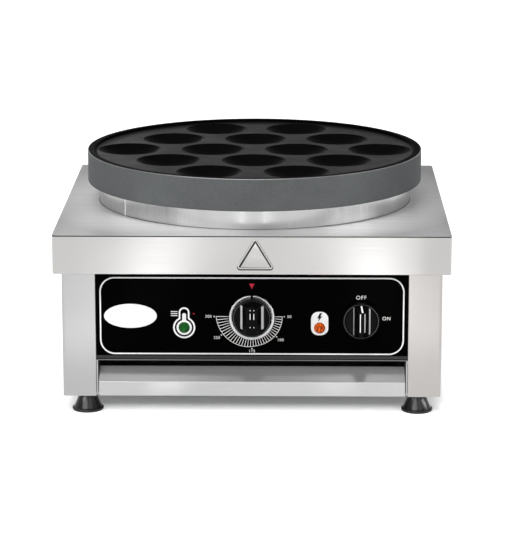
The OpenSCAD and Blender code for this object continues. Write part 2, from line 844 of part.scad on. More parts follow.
// A box behind the panel with a threaded bush through it, bored for a shaft
module control_body(x, z, w, d, tab_x) {
    difference() {
        union() {
            translate([x - w / 2, panel_back, z - w / 2]) cube([w, d, w]);
            forward(x, panel_back + eps, z)
                cylinder(r = bush_r, h = panel_back - overlay_front + bush_out + eps);
            tabs(x, panel_back + d, z, tab_x);
        }
        backward(x, overlay_front - bush_out - eps, z)
            cylinder(r = shaft_r + shaft_gap, h = panel_back - overlay_front + bush_out + shaft_in + 2 * eps);
    }
}

// The nut that holds a bush, on the overlay
module bush_nut(x, z) {
    forward(x, overlay_front, z) nut(bush_nut_r, bush_r + shaft_gap, bush_nut_h);
}

module control_shaft(x, z) {
    forward(x, panel_back + shaft_in, z)
        cylinder(r = shaft_r, h = panel_back + shaft_in - overlay_front + knob_gap + shaft_top);
}

module thermostat_body() {
    color(porcelain_color) control_body(0, thermostat_z, thermostat_w, thermostat_d, thermostat_tab_x);
}

module thermostat_nut() {
    color(plain_steel_color) bush_nut(0, thermostat_z);
}

module thermostat_shaft() {
    color(plain_steel_color) control_shaft(0, thermostat_z);
}

module switch_body() {
    color(black_color) control_body(switch_x, switch_z, switch_w, switch_d, switch_tab_x);
}

module switch_nut() {
    color(plain_steel_color) bush_nut(switch_x, switch_z);
}

module switch_shaft() {
    color(plain_steel_color) control_shaft(switch_x, switch_z);
}

// A round knob with a tapered grip across it, hollow at the back for the bush and bored for the shaft
module knob(r, grip_w, grip_top) {
    edge = 1.2;
    grip_r = r - edge;
    grip_h = knob_h - knob_base_t;
    grip = [[-grip_w / 2, knob_base_t - eps], [grip_w / 2, knob_base_t - eps], [grip_top / 2, knob_h],
        [-grip_top / 2, knob_h]];
    difference() {
        union() {
            cylinder(r = r, h = knob_base_t - edge);
            translate([0, 0, knob_base_t - edge]) cylinder(r1 = r, r2 = r - edge, h = edge);
            intersection() {
                along_y(r) polygon(grip);
                translate([0, 0, knob_base_t - eps])
                    cylinder(r1 = grip_r, r2 = grip_r - grip_draft, h = grip_h + eps);
            }
        }
        translate([0, 0, -eps]) cylinder(r = hollow_r, h = hollow_d + eps);
        cylinder(r = shaft_r + shaft_gap, h = shaft_top + shaft_gap);
    }
}

module thermostat_knob() {
    color(black_color) forward(0, overlay_front - knob_gap, thermostat_z)
        knob(dial_r, dial_grip_w, dial_grip_top);
}

module knob_trim_ring() {
    bevel = 1;
    inner_r = dial_r + shaft_gap;
    notch_d = 2;
    outline = [
        [inner_r, 0], [ring_r, 0], [ring_r, ring_t - bevel], [ring_r - bevel, ring_t], [inner_r, ring_t]
    ];
    color(steel_color) forward(0, overlay_front - knob_gap, thermostat_z) difference() {
        rotate_extrude() polygon(outline);
        translate([-notch_w / 2, 0, ring_t - notch_d]) cube([notch_w, 2 * ring_r, 2 * notch_d]);
    }
}

module switch_knob() {
    color(black_color) forward(switch_x, overlay_front - knob_gap, switch_z)
        knob(switch_knob_r, switch_grip_w, switch_grip_top);
}

// A domed lens whose stem passes through the overlay and the panel
module lens(x) {
    flange_t = 1;
    stem_l = panel_back - overlay_front;
    dome_h = lens_h - flange_t;
    dome_r = (lens_r * lens_r + dome_h * dome_h) / (2 * dome_h);
    forward(x, overlay_front, lamp_z) {
        cylinder(r = lens_r, h = flange_t);
        translate([0, 0, -stem_l]) cylinder(r = bush_r, h = stem_l + flange_t / 2);
        intersection() {
            translate([0, 0, lens_h - dome_r]) sphere(dome_r);
            translate([0, 0, flange_t / 2]) cylinder(r = lens_r - hole_gap, h = lens_h);
        }
    }
}

// A lamp holder behind the panel: a flange, a round body and two spade terminals
module lamp_holder(x) {
    flange_w = 2.5;
    flange_t = 2;
    backward(x, panel_back, lamp_z) {
        cylinder(r = bush_r + flange_w, h = flange_t);
        cylinder(r = bush_r + edge_gap, h = holder_l);
    }
    tabs(x, panel_back + holder_l - edge_gap, lamp_z, lamp_tab_x);
}

module green_lens() {
    color(green_color) lens(-lamp_x);
}

module orange_lens() {
    color(orange_color) lens(lamp_x);
}

module green_lamp_holder() {
    color(porcelain_color) lamp_holder(-lamp_x);
}

module orange_lamp_holder() {
    color(porcelain_color) lamp_holder(lamp_x);
}

// Wiring and the cable entry

function way_x(i) = block_x + (i - (block_ways - 1) / 2) * way_w;

module terminal_block() {
    screw_well = block_h / 2;
    color(porcelain_color) difference() {
        translate([block_x - block_ways * way_w / 2, block_front, shelf_top])
            cube([block_ways * way_w, block_d, block_h]);
        for (i = [0:block_ways - 1]) translate([way_x(i), block_y, shelf_top + screw_well])
            cylinder(r = small_head_r - edge_gap, h = block_h);
    }
}

module terminal_screws() {
    screw_well = block_h / 2;
    head_r = small_head_r - 2 * edge_gap;
    color(brass_color) for (i = [0:block_ways - 1]) translate([way_x(i), block_y, shelf_top + screw_well])
        difference() {
            cylinder(r = head_r, h = block_h / 3);
            translate([-edge_gap, -head_r, block_h / 4]) cube([2 * edge_gap, 2 * head_r, block_h]);
        }
}

module earth_stud() {
    base_t = 2;
    color(brass_color) translate([earth_x, earth_y, shelf_top]) {
        cylinder(r = earth_r * nut_ratio, h = base_t, $fn = 6);
        cylinder(r = earth_r, h = earth_h);
    }
}

module earth_nut() {
    nut_h = earth_r * nut_height_ratio;
    nut_up = 8;
    color(brass_color) translate([earth_x, earth_y, shelf_top + nut_up])
        nut(earth_r * nut_ratio, earth_r + shaft_gap, nut_h);
}

// Leads between the terminals: where each starts and ends, and how it leaves and arrives
module leads() {
    sag = 60;
    back = [0, sag, 0];
    down = [0, 0, -sag];
    tab_end = tab_l + slide_gap;
    thermostat_back = panel_back + thermostat_d + tab_end;
    switch_back = panel_back + switch_d + tab_end;
    lamp_back = panel_back + holder_l - edge_gap + tab_end;
    way = [for (i = [0:block_ways - 1]) [way_x(i), block_front - edge_gap, way_z]];
    leg_ends = [for (leg = legs) [leg[0], leg[1], leg_z0 - edge_gap]];
    thermostat_tabs = [for (sx = SIDES) [sx * thermostat_tab_x, thermostat_back, thermostat_z]];
    routes = [
        [[-lamp_x - lamp_tab_x, lamp_back, lamp_z], back, way[0], back],
        [[-lamp_x + lamp_tab_x, lamp_back, lamp_z], back, way[1], back],
        [[lamp_x - lamp_tab_x, lamp_back, lamp_z], back, way[2], back],
        [[lamp_x + lamp_tab_x, lamp_back, lamp_z], back, way[3], back],
        [[switch_x + switch_tab_x, switch_back, switch_z], back, way[5], back],
        [[switch_x - switch_tab_x, switch_back, switch_z], back, thermostat_tabs[1], -back],
        [thermostat_tabs[0], back, leg_ends[0], -down],
        [leg_ends[1], down, way[4], back]
    ];
    color(lead_color) for (route = routes)
        swept(curve(route[0], route[1], route[2], route[3], curve_steps), lead_r);
}

module cable_gland() {
    color(black_color) difference() {
        union() {
            backward(gland_x, half_d - gland_thread_in, gland_z)
                cylinder(r = gland_r, h = gland_thread_in + sheet_t + eps);
            backward(gland_x, rear_face, gland_z) cylinder(r = gland_hex_r, h = gland_hex_t, $fn = 6);
        }
        backward(gland_x, half_d - gland_thread_in - eps, gland_z)
            cylinder(r = gland_inner_r, h = gland_thread_in + sheet_t + gland_hex_t + 2 * eps);
    }
}

module gland_cap() {
    cap_h = gland_out - gland_hex_t;
    skirt = cap_h / 2;
    color(black_color) backward(gland_x, rear_face + gland_hex_t, gland_z) difference() {
        union() {
            cylinder(r = gland_hex_r, h = skirt, $fn = 6);
            translate([0, 0, skirt - eps]) cylinder(r1 = gland_r, r2 = cap_tip_r, h = cap_h - skirt + eps);
        }
        translate([0, 0, -eps]) cylinder(r = gland_inner_r, h = cap_h + 2 * eps);
    }
}

module gland_seal() {
    seal_l = gland_thread_in + sheet_t + gland_out;
    color(rubber_color) backward(gland_x, half_d - gland_thread_in, gland_z) difference() {
        cylinder(r = gland_inner_r - shaft_gap, h = seal_l);
        translate([0, 0, -eps]) cylinder(r = gland_bore_r, h = seal_l + 2 * eps);
    }
}

module gland_locknut() {
    color(black_color) forward(gland_x, half_d, gland_z) nut(gland_hex_r, gland_r + shaft_gap, locknut_t);
}

// Feet

module foot(sx, sy) {
    flank_steps = 6;
    flank_power = 1.5;
    lip_bevel = 1;
    lip_step = 2;
    flank_r = foot_lip_r - lip_step;
    flank_w = flank_r - foot_top_r;
    flank_h = foot_h - foot_lip_t;
    flank = [for (i = [0:flank_steps]) let (u = i / flank_steps)
        [foot_top_r + flank_w * pow(1 - u, flank_power), foot_lip_t + flank_h * u]];
    outline = concat(
        [[0, 0], [foot_lip_r - lip_bevel, 0], [foot_lip_r, lip_bevel], [foot_lip_r, foot_lip_t - lip_bevel]],
        flank,
        [[0, foot_h]]);
    color(rubber_color) translate([sx * foot_x, sy * foot_y, 0]) difference() {
        rotate_extrude() polygon(outline);
        translate([0, 0, -eps]) cylinder(r = foot_recess_r, h = foot_seat + eps);
        cylinder(r = foot_hole_r, h = foot_h + eps);
    }
}

module front_left_foot() {
    foot(-1, -1);
}

module front_right_foot() {
    foot(1, -1);
}

module rear_left_foot() {
    foot(-1, 1);
}

module rear_right_foot() {
    foot(1, 1);
}

// Fasteners

module foot_screws() {
    shank_l = foot_nut_z + foot_nut_h + foot_screw_tail - foot_seat;
    color(plain_steel_color) for (at = feet) translate([at[0], at[1], foot_seat]) rotate([180, 0, 0])
        screw(foot_screw_r, shank_l, foot_head_r, foot_head_h);
}

module foot_nuts() {
    color(plain_steel_color) for (at = feet) translate([at[0], at[1], foot_nut_z])
        nut(foot_nut_r, foot_screw_r + shaft_gap, foot_nut_h);
}

module deck_studs() {
    stud_l = sheet_t + small_nut_h + small_tail;
    color(plain_steel_color) for (sx = SIDES, sy = SIDES)
        translate([sx * deck_stud_x, sy * deck_stud_y, body_z1 - stud_l])
            cylinder(r = small_screw_r, h = stud_l);
}

module deck_nuts() {
    color(plain_steel_color) for (sx = SIDES, sy = SIDES)
        translate([sx * deck_stud_x, sy * deck_stud_y, body_z1 - sheet_t - small_nut_h])
            nut(small_nut_r, small_screw_r + shaft_gap, small_nut_h);
}

module panel_studs() {
    stud_l = sheet_t + small_nut_h + small_tail;
    color(plain_steel_color) for (sx = SIDES, z = panel_stud_z)
        backward(sx * post_mid, panel_front, z) cylinder(r = small_screw_r, h = stud_l);
}

module panel_nuts() {
    color(plain_steel_color) for (sx = SIDES, z = panel_stud_z)
        backward(sx * post_mid, panel_back, z) nut(small_nut_r, small_screw_r + shaft_gap, small_nut_h);
}

module rear_screws() {
    shank_l = 2 * sheet_t + small_tail;
    color(plain_steel_color) for (sx = SIDES, z = rear_screw_z)
        backward(sx * post_mid, rear_face, z) screw(small_screw_r, shank_l, small_head_r, small_head_h);
}

module shelf_screws() {
    color(plain_steel_color) for (sx = SIDES, sy = SIDES)
        translate([sx * shelf_screw_x, sy * shelf_screw_y, shelf_top])
            screw(small_screw_r, shelf_screw_l, small_head_r, small_head_h);
}

// Crumb tray: a shallow pan whose front rises as a strip and then slopes back

module crumb_tray() {
    front = -half_d;
    inside = front + tray_t;
    back = front + tray_d;
    wall_top = tray_z0 + tray_wall_h;
    slope_angle = 45;
    fold_drop = tray_t * tan(slope_angle / 2);
    slope_off = tray_t * sin(slope_angle);
    slope_end = front + slope;
    wall_run = wall_top - (strip_top - fold_drop);
    front_outline = [
        [front, tray_front_z0],
        [front, strip_top],
        [slope_end, tray_top],
        [slope_end + slope_off, tray_top - slope_off],
        [inside, strip_top - fold_drop],
        [inside, tray_front_z0]
    ];
    wall_outline = [
        [inside, tray_z0],
        [inside, strip_top - fold_drop],
        [inside + wall_run, wall_top],
        [back, wall_top],
        [back, tray_z0]
    ];
    color(steel_color) {
        along_x(tray_half) polygon(front_outline);
        translate([-tray_half, inside - tray_t / 2, tray_z0])
            cube([2 * tray_half, tray_d - tray_t / 2, tray_t]);
        translate([-tray_half, back - tray_t, tray_z0]) cube([2 * tray_half, tray_t, tray_wall_h]);
        for (sx = SIDES) translate([sx * (tray_half - tray_t / 2), 0, 0])
            along_x(tray_t / 2) polygon(wall_outline);
    }
}

base_pan();
left_side_panel();
right_side_panel();
rear_panel();
deck();
skirt_badge();
plate_collar();
front_panel();
panel_overlay();
divider_shelf();
left_tray_runner();
right_tray_runner();
cooking_plate();
heating_element();
press_plate();
insulation_pad();
heat_pan();
front_cross_bar();
rear_cross_bar();
plate_studs();
plate_nuts();
bulb_saddles();
thermostat_bulb();
thermostat_capillary();
thermostat_body();
thermostat_nut();
switch_body();
switch_nut();
green_lens();
orange_lens();
green_lamp_holder();
orange_lamp_holder();
terminal_block();
terminal_screws();
earth_stud();
earth_nut();
leads();
cable_gland();
gland_cap();
gland_seal();
gland_locknut();
front_left_foot();
front_right_foot();
rear_left_foot();
rear_right_foot();
foot_screws();
foot_nuts();
deck_studs();
deck_nuts();
panel_studs();
panel_nuts();
rear_screws();
shelf_screws();
thermostat_shaft();
thermostat_knob();
knob_trim_ring();
switch_shaft();
switch_knob();
crumb_tray();
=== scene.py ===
"""Looks of an electric pancake maker: finer pieces, materials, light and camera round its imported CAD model.

Sizes are in millimetres until a mesh is made. +Z is up and the controls face -Y.
"""
import math

import bmesh
import bpy
from mathutils import Euler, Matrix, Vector
from mathutils.geometry import delaunay_2d_cdt


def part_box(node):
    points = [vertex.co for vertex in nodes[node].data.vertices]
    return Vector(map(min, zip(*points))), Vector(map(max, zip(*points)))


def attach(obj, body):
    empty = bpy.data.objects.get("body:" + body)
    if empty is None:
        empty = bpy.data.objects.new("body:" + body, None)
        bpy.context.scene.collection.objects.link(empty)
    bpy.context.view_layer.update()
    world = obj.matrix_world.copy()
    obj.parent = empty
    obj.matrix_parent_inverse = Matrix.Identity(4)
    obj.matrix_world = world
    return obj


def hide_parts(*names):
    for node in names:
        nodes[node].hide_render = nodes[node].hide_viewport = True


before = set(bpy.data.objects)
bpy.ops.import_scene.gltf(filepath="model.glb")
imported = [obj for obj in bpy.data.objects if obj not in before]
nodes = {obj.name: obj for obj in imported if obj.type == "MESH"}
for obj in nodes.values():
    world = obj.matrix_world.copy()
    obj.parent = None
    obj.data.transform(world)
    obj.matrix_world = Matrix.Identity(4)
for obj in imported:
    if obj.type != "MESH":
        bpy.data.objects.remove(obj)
scene = bpy.context.scene
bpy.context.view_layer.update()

MM = 0.001
SAME_POINT = 0.002
SLIVER = 0.001
CHASSIS = "chassis"
THERMOSTAT = "thermostat_dial"
SWITCH = "switch_dial"
TRAY = "tray"


# Shapes

def box(name):
    """Lowest and highest corner of a CAD node, in millimetres."""
    low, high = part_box(name)
    return low / MM, high / MM


def angles(start, end, steps):
    """Angles in radians, in even steps between two that are given in degrees."""
    return [math.radians(start + (end - start) * i / steps) for i in range(steps + 1)]


def arc(centre, radius, start, end, steps):
    """Points along an arc between two angles in degrees."""
    return [(centre[0] + radius * math.cos(a), centre[1] + radius * math.sin(a))
            for a in angles(start, end, steps)]


def circle(centre, radius, steps):
    return arc(centre, radius, 0, 360, steps)[:-1]


def rectangle(x0, z0, x1, z1):
    return [(x0, z0), (x1, z0), (x1, z1), (x0, z1)]


def rounded_rectangle(x0, z0, x1, z1, radius, steps, along=0):
    """Outline with round corners, and with extra points along its straight sides."""
    corners = [(x1 - radius, z1 - radius), (x0 + radius, z1 - radius),
               (x0 + radius, z0 + radius), (x1 - radius, z0 + radius)]
    loop = []
    for quarter, corner in enumerate(corners):
        loop += arc(corner, radius, 90 * quarter, 90 * quarter + 90, steps)
    if not along:
        return loop
    dense = []
    for i, point in enumerate(loop):
        dense.append(point)
        if i % (steps + 1) == steps:
            after = loop[(i + 1) % len(loop)]
            for k in range(1, along + 1):
                share = k / (along + 1)
                dense.append(tuple(a + (b - a) * share for a, b in zip(point, after)))
    return dense


def filleted(corners, steps=4):
    """A polyline of (radius, height, fillet) corners, each rounded by its fillet."""
    made = []
    for i, (x, y, fillet) in enumerate(corners):
        if fillet == 0 or i in (0, len(corners) - 1):
            made.append((x, y))
            continue
        here = Vector((x, y))
        back = (Vector(corners[i - 1][:2]) - here).normalized()
        ahead = (Vector(corners[i + 1][:2]) - here).normalized()
        half = back.angle(ahead) / 2
        reach = fillet / math.tan(half)
        middle = here + (back + ahead).normalized() * (fillet / math.sin(half))
        start = here + back * reach - middle
        end = here + ahead * reach - middle
        for k in range(steps + 1):
            spoke = start.lerp(end, k / steps).normalized() * fillet
            made.append(tuple(middle + spoke))
    return made


def turned(profile, steps):
    """Loops of a (radius, height) profile turned about the third axis."""
    return [[(r * math.cos(2 * math.pi * i / steps), r * math.sin(2 * math.pi * i / steps), h)
             for i in range(steps)] for r, h in profile]


def stacked(outline, heights):
    """An outline repeated at some heights."""
    return [[(x, y, h) for x, y in outline] for h in heights]


def standing(x, y, z=0):
    """Places points so that their third axis points up."""
    return lambda p: (x + p[0], y + p[1], z + p[2])


def facing_front(x, y, z):
    """Places points so that their third axis points to the front."""
    return lambda p: (x + p[0], y - p[2], z + p[1])


def loft(loops, place, cap_first=False, cap_last=False, closed=False):
    """Points and faces of a skin over loops that have the same number of points."""
    count = len(loops[0])
    points = [place(p) for loop in loops for p in loop]
    pairs = [(k, k + 1) for k in range(len(loops) - 1)]
    if closed:
        pairs.append((len(loops) - 1, 0))
    faces = []
    for first, second in pairs:
        for i in range(count):
            j = (i + 1) % count
            faces.append((first * count + i, first * count + j, second * count + j, second * count + i))
    if cap_first:
        faces.append(tuple(range(count)))
    if cap_last:
        faces.append(tuple(range(len(points) - count, len(points))))
    return points, faces


def capped(loops, place):
    """Points and faces of a solid over loops, closed at both ends."""
    return loft(loops, place, cap_first=True, cap_last=True)


def together(*parts):
    """Several sets of points and faces as one."""
    points, faces = [], []
    for some_points, some_faces in parts:
        start = len(points)
        points += some_points
        faces += [tuple(start + i for i in face) for face in some_faces]
    return points, faces


def piece(name, shape, material, body=CHASSIS, sharp=35.0, replaces=()):
    """A new object that rides on a body and may stand for CAD nodes."""
    points, faces = shape
    mesh = bpy.data.meshes.new(name)
    mesh.from_pydata([Vector(p) * MM for p in points], [], faces)
    mesh.materials.append(material)
    work = bmesh.new()
    work.from_mesh(mesh)
    bmesh.ops.remove_doubles(work, verts=work.verts, dist=SAME_POINT * MM)
    bmesh.ops.dissolve_degenerate(work, edges=work.edges, dist=SLIVER * MM)
    bmesh.ops.recalc_face_normals(work, faces=work.faces)
    work.to_mesh(mesh)
    work.free()
    mesh.shade_smooth()
    mesh.set_sharp_from_angle(angle=math.radians(sharp))
    made = bpy.data.objects.new(name, mesh)
    scene.collection.objects.link(made)
    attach(made, body)
    if replaces:
        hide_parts(*replaces)


# Material nodes

def new_material(name):
    material = bpy.data.materials.new(name)
    material.use_nodes = True
    return material, material.node_tree, material.node_tree.nodes["Principled BSDF"]


def add(tree, kind, inputs=None, **settings):
    """A new node with its settings, and with values or links on its inputs."""
    made = tree.nodes.new(kind)
    for name, value in settings.items():
        setattr(made, name, value)
    for name, value in (inputs or {}).items():
        if isinstance(value, bpy.types.NodeSocket):
            tree.links.new(value, made.inputs[name])
        else:
            made.inputs[name].default_value = value
    return made


def maths(tree, operation, *values):
    """The result of an operation on values or links."""
    return add(tree, "ShaderNodeMath", dict(enumerate(values)), operation=operation).outputs[0]


def noise(tree, scale, detail, rough=0.6):
    """Noise in the part's own frame, stretched by a scale for each axis, in features a metre."""
    place = add(tree, "ShaderNodeTexCoord")
    stretch = add(tree, "ShaderNodeMapping", {"Vector": place.outputs["Object"], "Scale": scale})
    inputs = {"Vector": stretch.outputs["Vector"], "Scale": 1.0, "Detail": detail, "Roughness": rough}
    return add(tree, "ShaderNodeTexNoise", inputs).outputs["Fac"]


def spread(tree, factor, low, high, start=0.3, end=0.7):
    """A factor's middle range spread between two values."""
    inputs = {"Value": factor, "From Min": start, "From Max": end, "To Min": low, "To Max": high}
    return add(tree, "ShaderNodeMapRange", inputs).outputs["Result"]


def shades(tree, factor, dark, light, start=0.3, end=0.7):
    """A colour between two, by a factor."""
    ramp = add(tree, "ShaderNodeValToRGB", {"Fac": factor})
    for element, place, colour in zip(ramp.color_ramp.elements, (start, end), (dark, light)):
        element.position = place
        element.color = (*colour, 1.0)
    return ramp.outputs["Color"]


def tinted(tree, colour, tint):
    """One colour multiplied by another."""
    mix = add(tree, "ShaderNodeMix", {0: 1.0, 6: colour, 7: tint}, data_type="RGBA", blend_type="MULTIPLY")
    return mix.outputs[2]


def bump(tree, shader, height, strength, depth):
    """Fine relief on a shader, with its depth in millimetres."""
    made = add(tree, "ShaderNodeBump", {"Height": height, "Strength": strength, "Distance": depth * MM})
    tree.links.new(made.outputs["Normal"], shader.inputs["Normal"])


def dressed(tree, shader, colour, rough, metal, level):
    """Colour and gloss on a shader."""
    tree.links.new(colour, shader.inputs["Base Color"])
    tree.links.new(rough, shader.inputs["Roughness"])
    shader.inputs["Metallic"].default_value = metal
    shader.inputs["Specular IOR Level"].default_value = level


def grey(level):
    return level, level, level


def scaled(colour, factor):
    return tuple(c * factor for c in colour)


def brushed(name, grain, colour, rough, depth, side_grain=None, streak=0.08, cloud=(7, 7, 9), patch=0.90,
            metal=1.0, level=0.5):
    """Brushed metal sheet: long fine lines, and soft clouds where the polish is uneven."""
    material, tree, shader = new_material(name)
    lines = noise(tree, grain, detail=2.0)
    if side_grain:
        other = noise(tree, side_grain, detail=2.0)
        normal = add(tree, "ShaderNodeNewGeometry").outputs["Normal"]
        across = add(tree, "ShaderNodeSeparateXYZ", {"Vector": normal}).outputs["X"]
        turned_side = maths(tree, "ABSOLUTE", across)
        choice = add(tree, "ShaderNodeMix", {0: turned_side, 2: lines, 3: other}, data_type="FLOAT")
        lines = choice.outputs[0]
    clouds = noise(tree, cloud, detail=1.0, rough=0.4)
    streaks = shades(tree, lines, scaled(colour, 1 - streak), scaled(colour, 1 + streak))
    patches = shades(tree, clouds, grey(patch), grey(1.0))
    dressed(tree, shader, tinted(tree, streaks, patches), spread(tree, lines, *rough), metal, level)
    bump(tree, shader, lines, 0.35, depth)
    return material


def speckled(name, dark, light, grain, rough, depth, metal=0.0, level=0.5):
    """A grained surface, cast, moulded, felted or fired, that varies in colour and gloss."""
    material, tree, shader = new_material(name)
    fine = noise(tree, (grain, grain, grain), detail=4.0)
    broad = noise(tree, (25, 25, 25), detail=3.0)
    patches = shades(tree, broad, grey(0.86), grey(1.0))
    colour = tinted(tree, shades(tree, fine, dark, light), patches)
    dressed(tree, shader, colour, spread(tree, broad, *rough), metal, level)
    bump(tree, shader, fine, 0.5, depth)
    return material


def ink(name, dark, light, rough=(0.3, 0.4), level=0.3):
    """A printed or worn mark, with a very fine grain."""
    return speckled(name, dark, light, 2500, rough, 0.003, level=level)


def jewel(name, dark, light):
    """Coloured lamp glass, mottled lighter and darker as painted light and shade of the facets behind it."""
    material, tree, shader = new_material(name)
    facets = noise(tree, (520, 520, 520), detail=1.0)
    colour = shades(tree, facets, dark, light, 0.42, 0.64)
    dressed(tree, shader, colour, spread(tree, facets, 0.05, 0.12), metal=0.0, level=0.16)
    bump(tree, shader, facets, 0.6, 0.05)
    return material


def painted_sheen_falloff(material, centre, start, end, share):
    """Painted sheen on a finish: its colour falls to a share of itself further out from a point, in
    millimetres.
    """
    tree = material.node_tree
    colour = tree.nodes["Principled BSDF"].inputs["Base Color"]
    place = add(tree, "ShaderNodeTexCoord").outputs["Object"]
    offset = add(tree, "ShaderNodeVectorMath", {0: place, 1: Vector(centre) * MM}, operation="SUBTRACT")
    away = add(tree, "ShaderNodeVectorMath", {0: offset.outputs["Vector"]}, operation="LENGTH")
    step = spread(tree, away.outputs["Value"], 0.0, 1.0, start * MM, end * MM)
    tone = shades(tree, step, grey(1.0), grey(share), 0.0, 1.0)
    tree.links.new(tinted(tree, colour.links[0].from_socket, tone), colour)


# Finishes: the grain is in features a metre along x, y and z

ALONG_X = (5, 900, 900)
ALONG_Y = (900, 5, 900)
ALONG_Z = (1400, 1400, 5)
DECK_LINES = (4, 220, 900)
UP_Z = (300, 300, 4)
UP_BANDS = (30, 30, 1)
STEEL = (0.56, 0.55, 0.54)
COOL_STEEL = grey(0.575)
WARM_STEEL = (0.522, 0.499, 0.483)

deck_steel = brushed("deck_steel", DECK_LINES, grey(0.68), (0.34, 0.44), 0.02, streak=0.10, metal=0.10,
                     level=0.2)
skirt_steel = brushed("skirt_steel", ALONG_X, STEEL, (0.17, 0.22), 0.01, ALONG_Y, streak=0.02)
post_steel = brushed("post_steel", ALONG_Z, scaled(COOL_STEEL, 0.875), (0.20, 0.26), 0.01, streak=0.025)
warm_steel = brushed("warm_steel", ALONG_Z, WARM_STEEL, (0.20, 0.26), 0.01, streak=0.03)
front_steel = brushed("front_steel", ALONG_X, STEEL, (0.26, 0.34), 0.02, streak=0.03)
tray_steel = brushed("tray_steel", ALONG_X, scaled(COOL_STEEL, 1.03), (0.20, 0.26), 0.004, streak=0.02)
# Painted shade: a dark, little-metallic copy of the tray's steel for its slope
painted_shade_slope_steel = brushed("painted_shade_slope_steel", ALONG_X, grey(0.27), (0.12, 0.16), 0.002, streak=0.05, metal=0.15)
# Painted shade: the lip's hem is the sheet steel darkened to a third
painted_shade_hem_steel = brushed("painted_shade_hem_steel", ALONG_X, scaled(STEEL, 0.34), (0.3, 0.4), 0.01, streak=0.06)
# Painted shade: the front panel, whose lip shows under the fascia, is the sheet steel darkened to a twelfth
painted_shade_lip_steel = brushed("painted_shade_lip_steel", ALONG_X, scaled(STEEL, 0.08), (0.3, 0.4), 0.02, streak=0.06)
collar_steel = brushed("collar_steel", UP_Z, scaled(COOL_STEEL, 1.04), (0.18, 0.26), 0.01, streak=0.03,
                       cloud=UP_BANDS, patch=0.86, metal=0.95)
mill_steel = brushed("mill_steel", (60, 60, 60), (0.50, 0.51, 0.52), (0.35, 0.5), 0.02)
zinc = brushed("zinc", (300, 300, 300), (0.60, 0.61, 0.62), (0.25, 0.4), 0.01)
chrome = brushed("chrome", (200, 200, 200), grey(0.64), (0.22, 0.30), 0.005)
weld_highlight_steel = brushed("weld_highlight_steel", UP_Z, grey(0.85), (0.12, 0.20), 0.005, streak=0.03)
brass = brushed("brass", (200, 200, 200), (0.70, 0.52, 0.22), (0.25, 0.4), 0.01)
rim_black = speckled("rim_black", grey(0.001), grey(0.002), 1400, (0.3, 0.4), 0.02, level=0.0008)
nonstick = speckled("nonstick", grey(0.003), grey(0.009), 1400, (0.34, 0.42), 0.03, level=0.026)
# Painted shade: the moulds get a darker and duller copy of the non-stick coat
mould_shade_black = speckled("mould_shade_black", grey(0.0015), grey(0.0035), 1400, (0.40, 0.50), 0.02, level=0.01)
plate_side = speckled("plate_side", (0.106, 0.112, 0.116), (0.146, 0.152, 0.156), 700, (0.55, 0.65), 0.05,
                      level=0.04)
bare_edge = speckled("bare_edge", grey(0.30), grey(0.42), 900, (0.35, 0.5), 0.02, metal=1.0)
gloss_black = speckled("gloss_black", grey(0.0003), grey(0.0006), 300, (0.10, 0.16), 0.002, level=0.008)
knob_black = speckled("knob_black", grey(0.0015), grey(0.003), 1500, (0.18, 0.26), 0.01, level=0.06)
housing_black = speckled("housing_black", grey(0.02), grey(0.035), 1200, (0.4, 0.55), 0.02)
rubber = speckled("rubber", grey(0.004), grey(0.008), 1100, (0.16, 0.24), 0.01, level=0.45)
# Painted shade: near-black for the deck's seam groove and for the badge's groove and foot line
painted_shade_dark = speckled("painted_shade_dark", grey(0.02), grey(0.035), 1100, (0.5, 0.6), 0.02, level=0.2)
seal_and_shadow_grey = speckled("seal_and_shadow_grey", grey(0.10), grey(0.15), 1100, (0.5, 0.6), 0.02, level=0.2)
porcelain = speckled("porcelain", (0.70, 0.68, 0.63), (0.82, 0.80, 0.75), 500, (0.35, 0.5), 0.02)
wool = speckled("wool", (0.70, 0.68, 0.62), (0.88, 0.86, 0.80), 900, (0.9, 1.0), 0.4, level=0.1)
sleeve = speckled("sleeve", (0.32, 0.035, 0.03), (0.44, 0.06, 0.05), 900, (0.4, 0.55), 0.01)
# White for the switch's pointer and the dial's marks, and for painted highlights on the knob grips
print_and_highlight_white = ink("print_and_highlight_white", grey(0.90), grey(0.96))
white_ink = ink("white_ink", grey(0.80), grey(0.88), (0.4, 0.5), 0.2)
# Painted highlights on the switch grip
highlight_grey = ink("highlight_grey", grey(0.45), grey(0.55))
red_ink = ink("red_ink", (0.42, 0.012, 0.03), (0.58, 0.02, 0.05), (0.4, 0.5), 0.2)
black_ink = ink("black_ink", grey(0.003), grey(0.006), (0.4, 0.5), 0.2)
# Painted highlight: a dim grey ring near each knob's edge
highlight_dim_grey = ink("highlight_dim_grey", grey(0.05), grey(0.08))
green_glass = jewel("green_glass", (0.0004, 0.034, 0.003), (0.003, 0.17, 0.010))
orange_glass = jewel("orange_glass", (0.20, 0.014, 0.0005), (0.88, 0.15, 0.004))

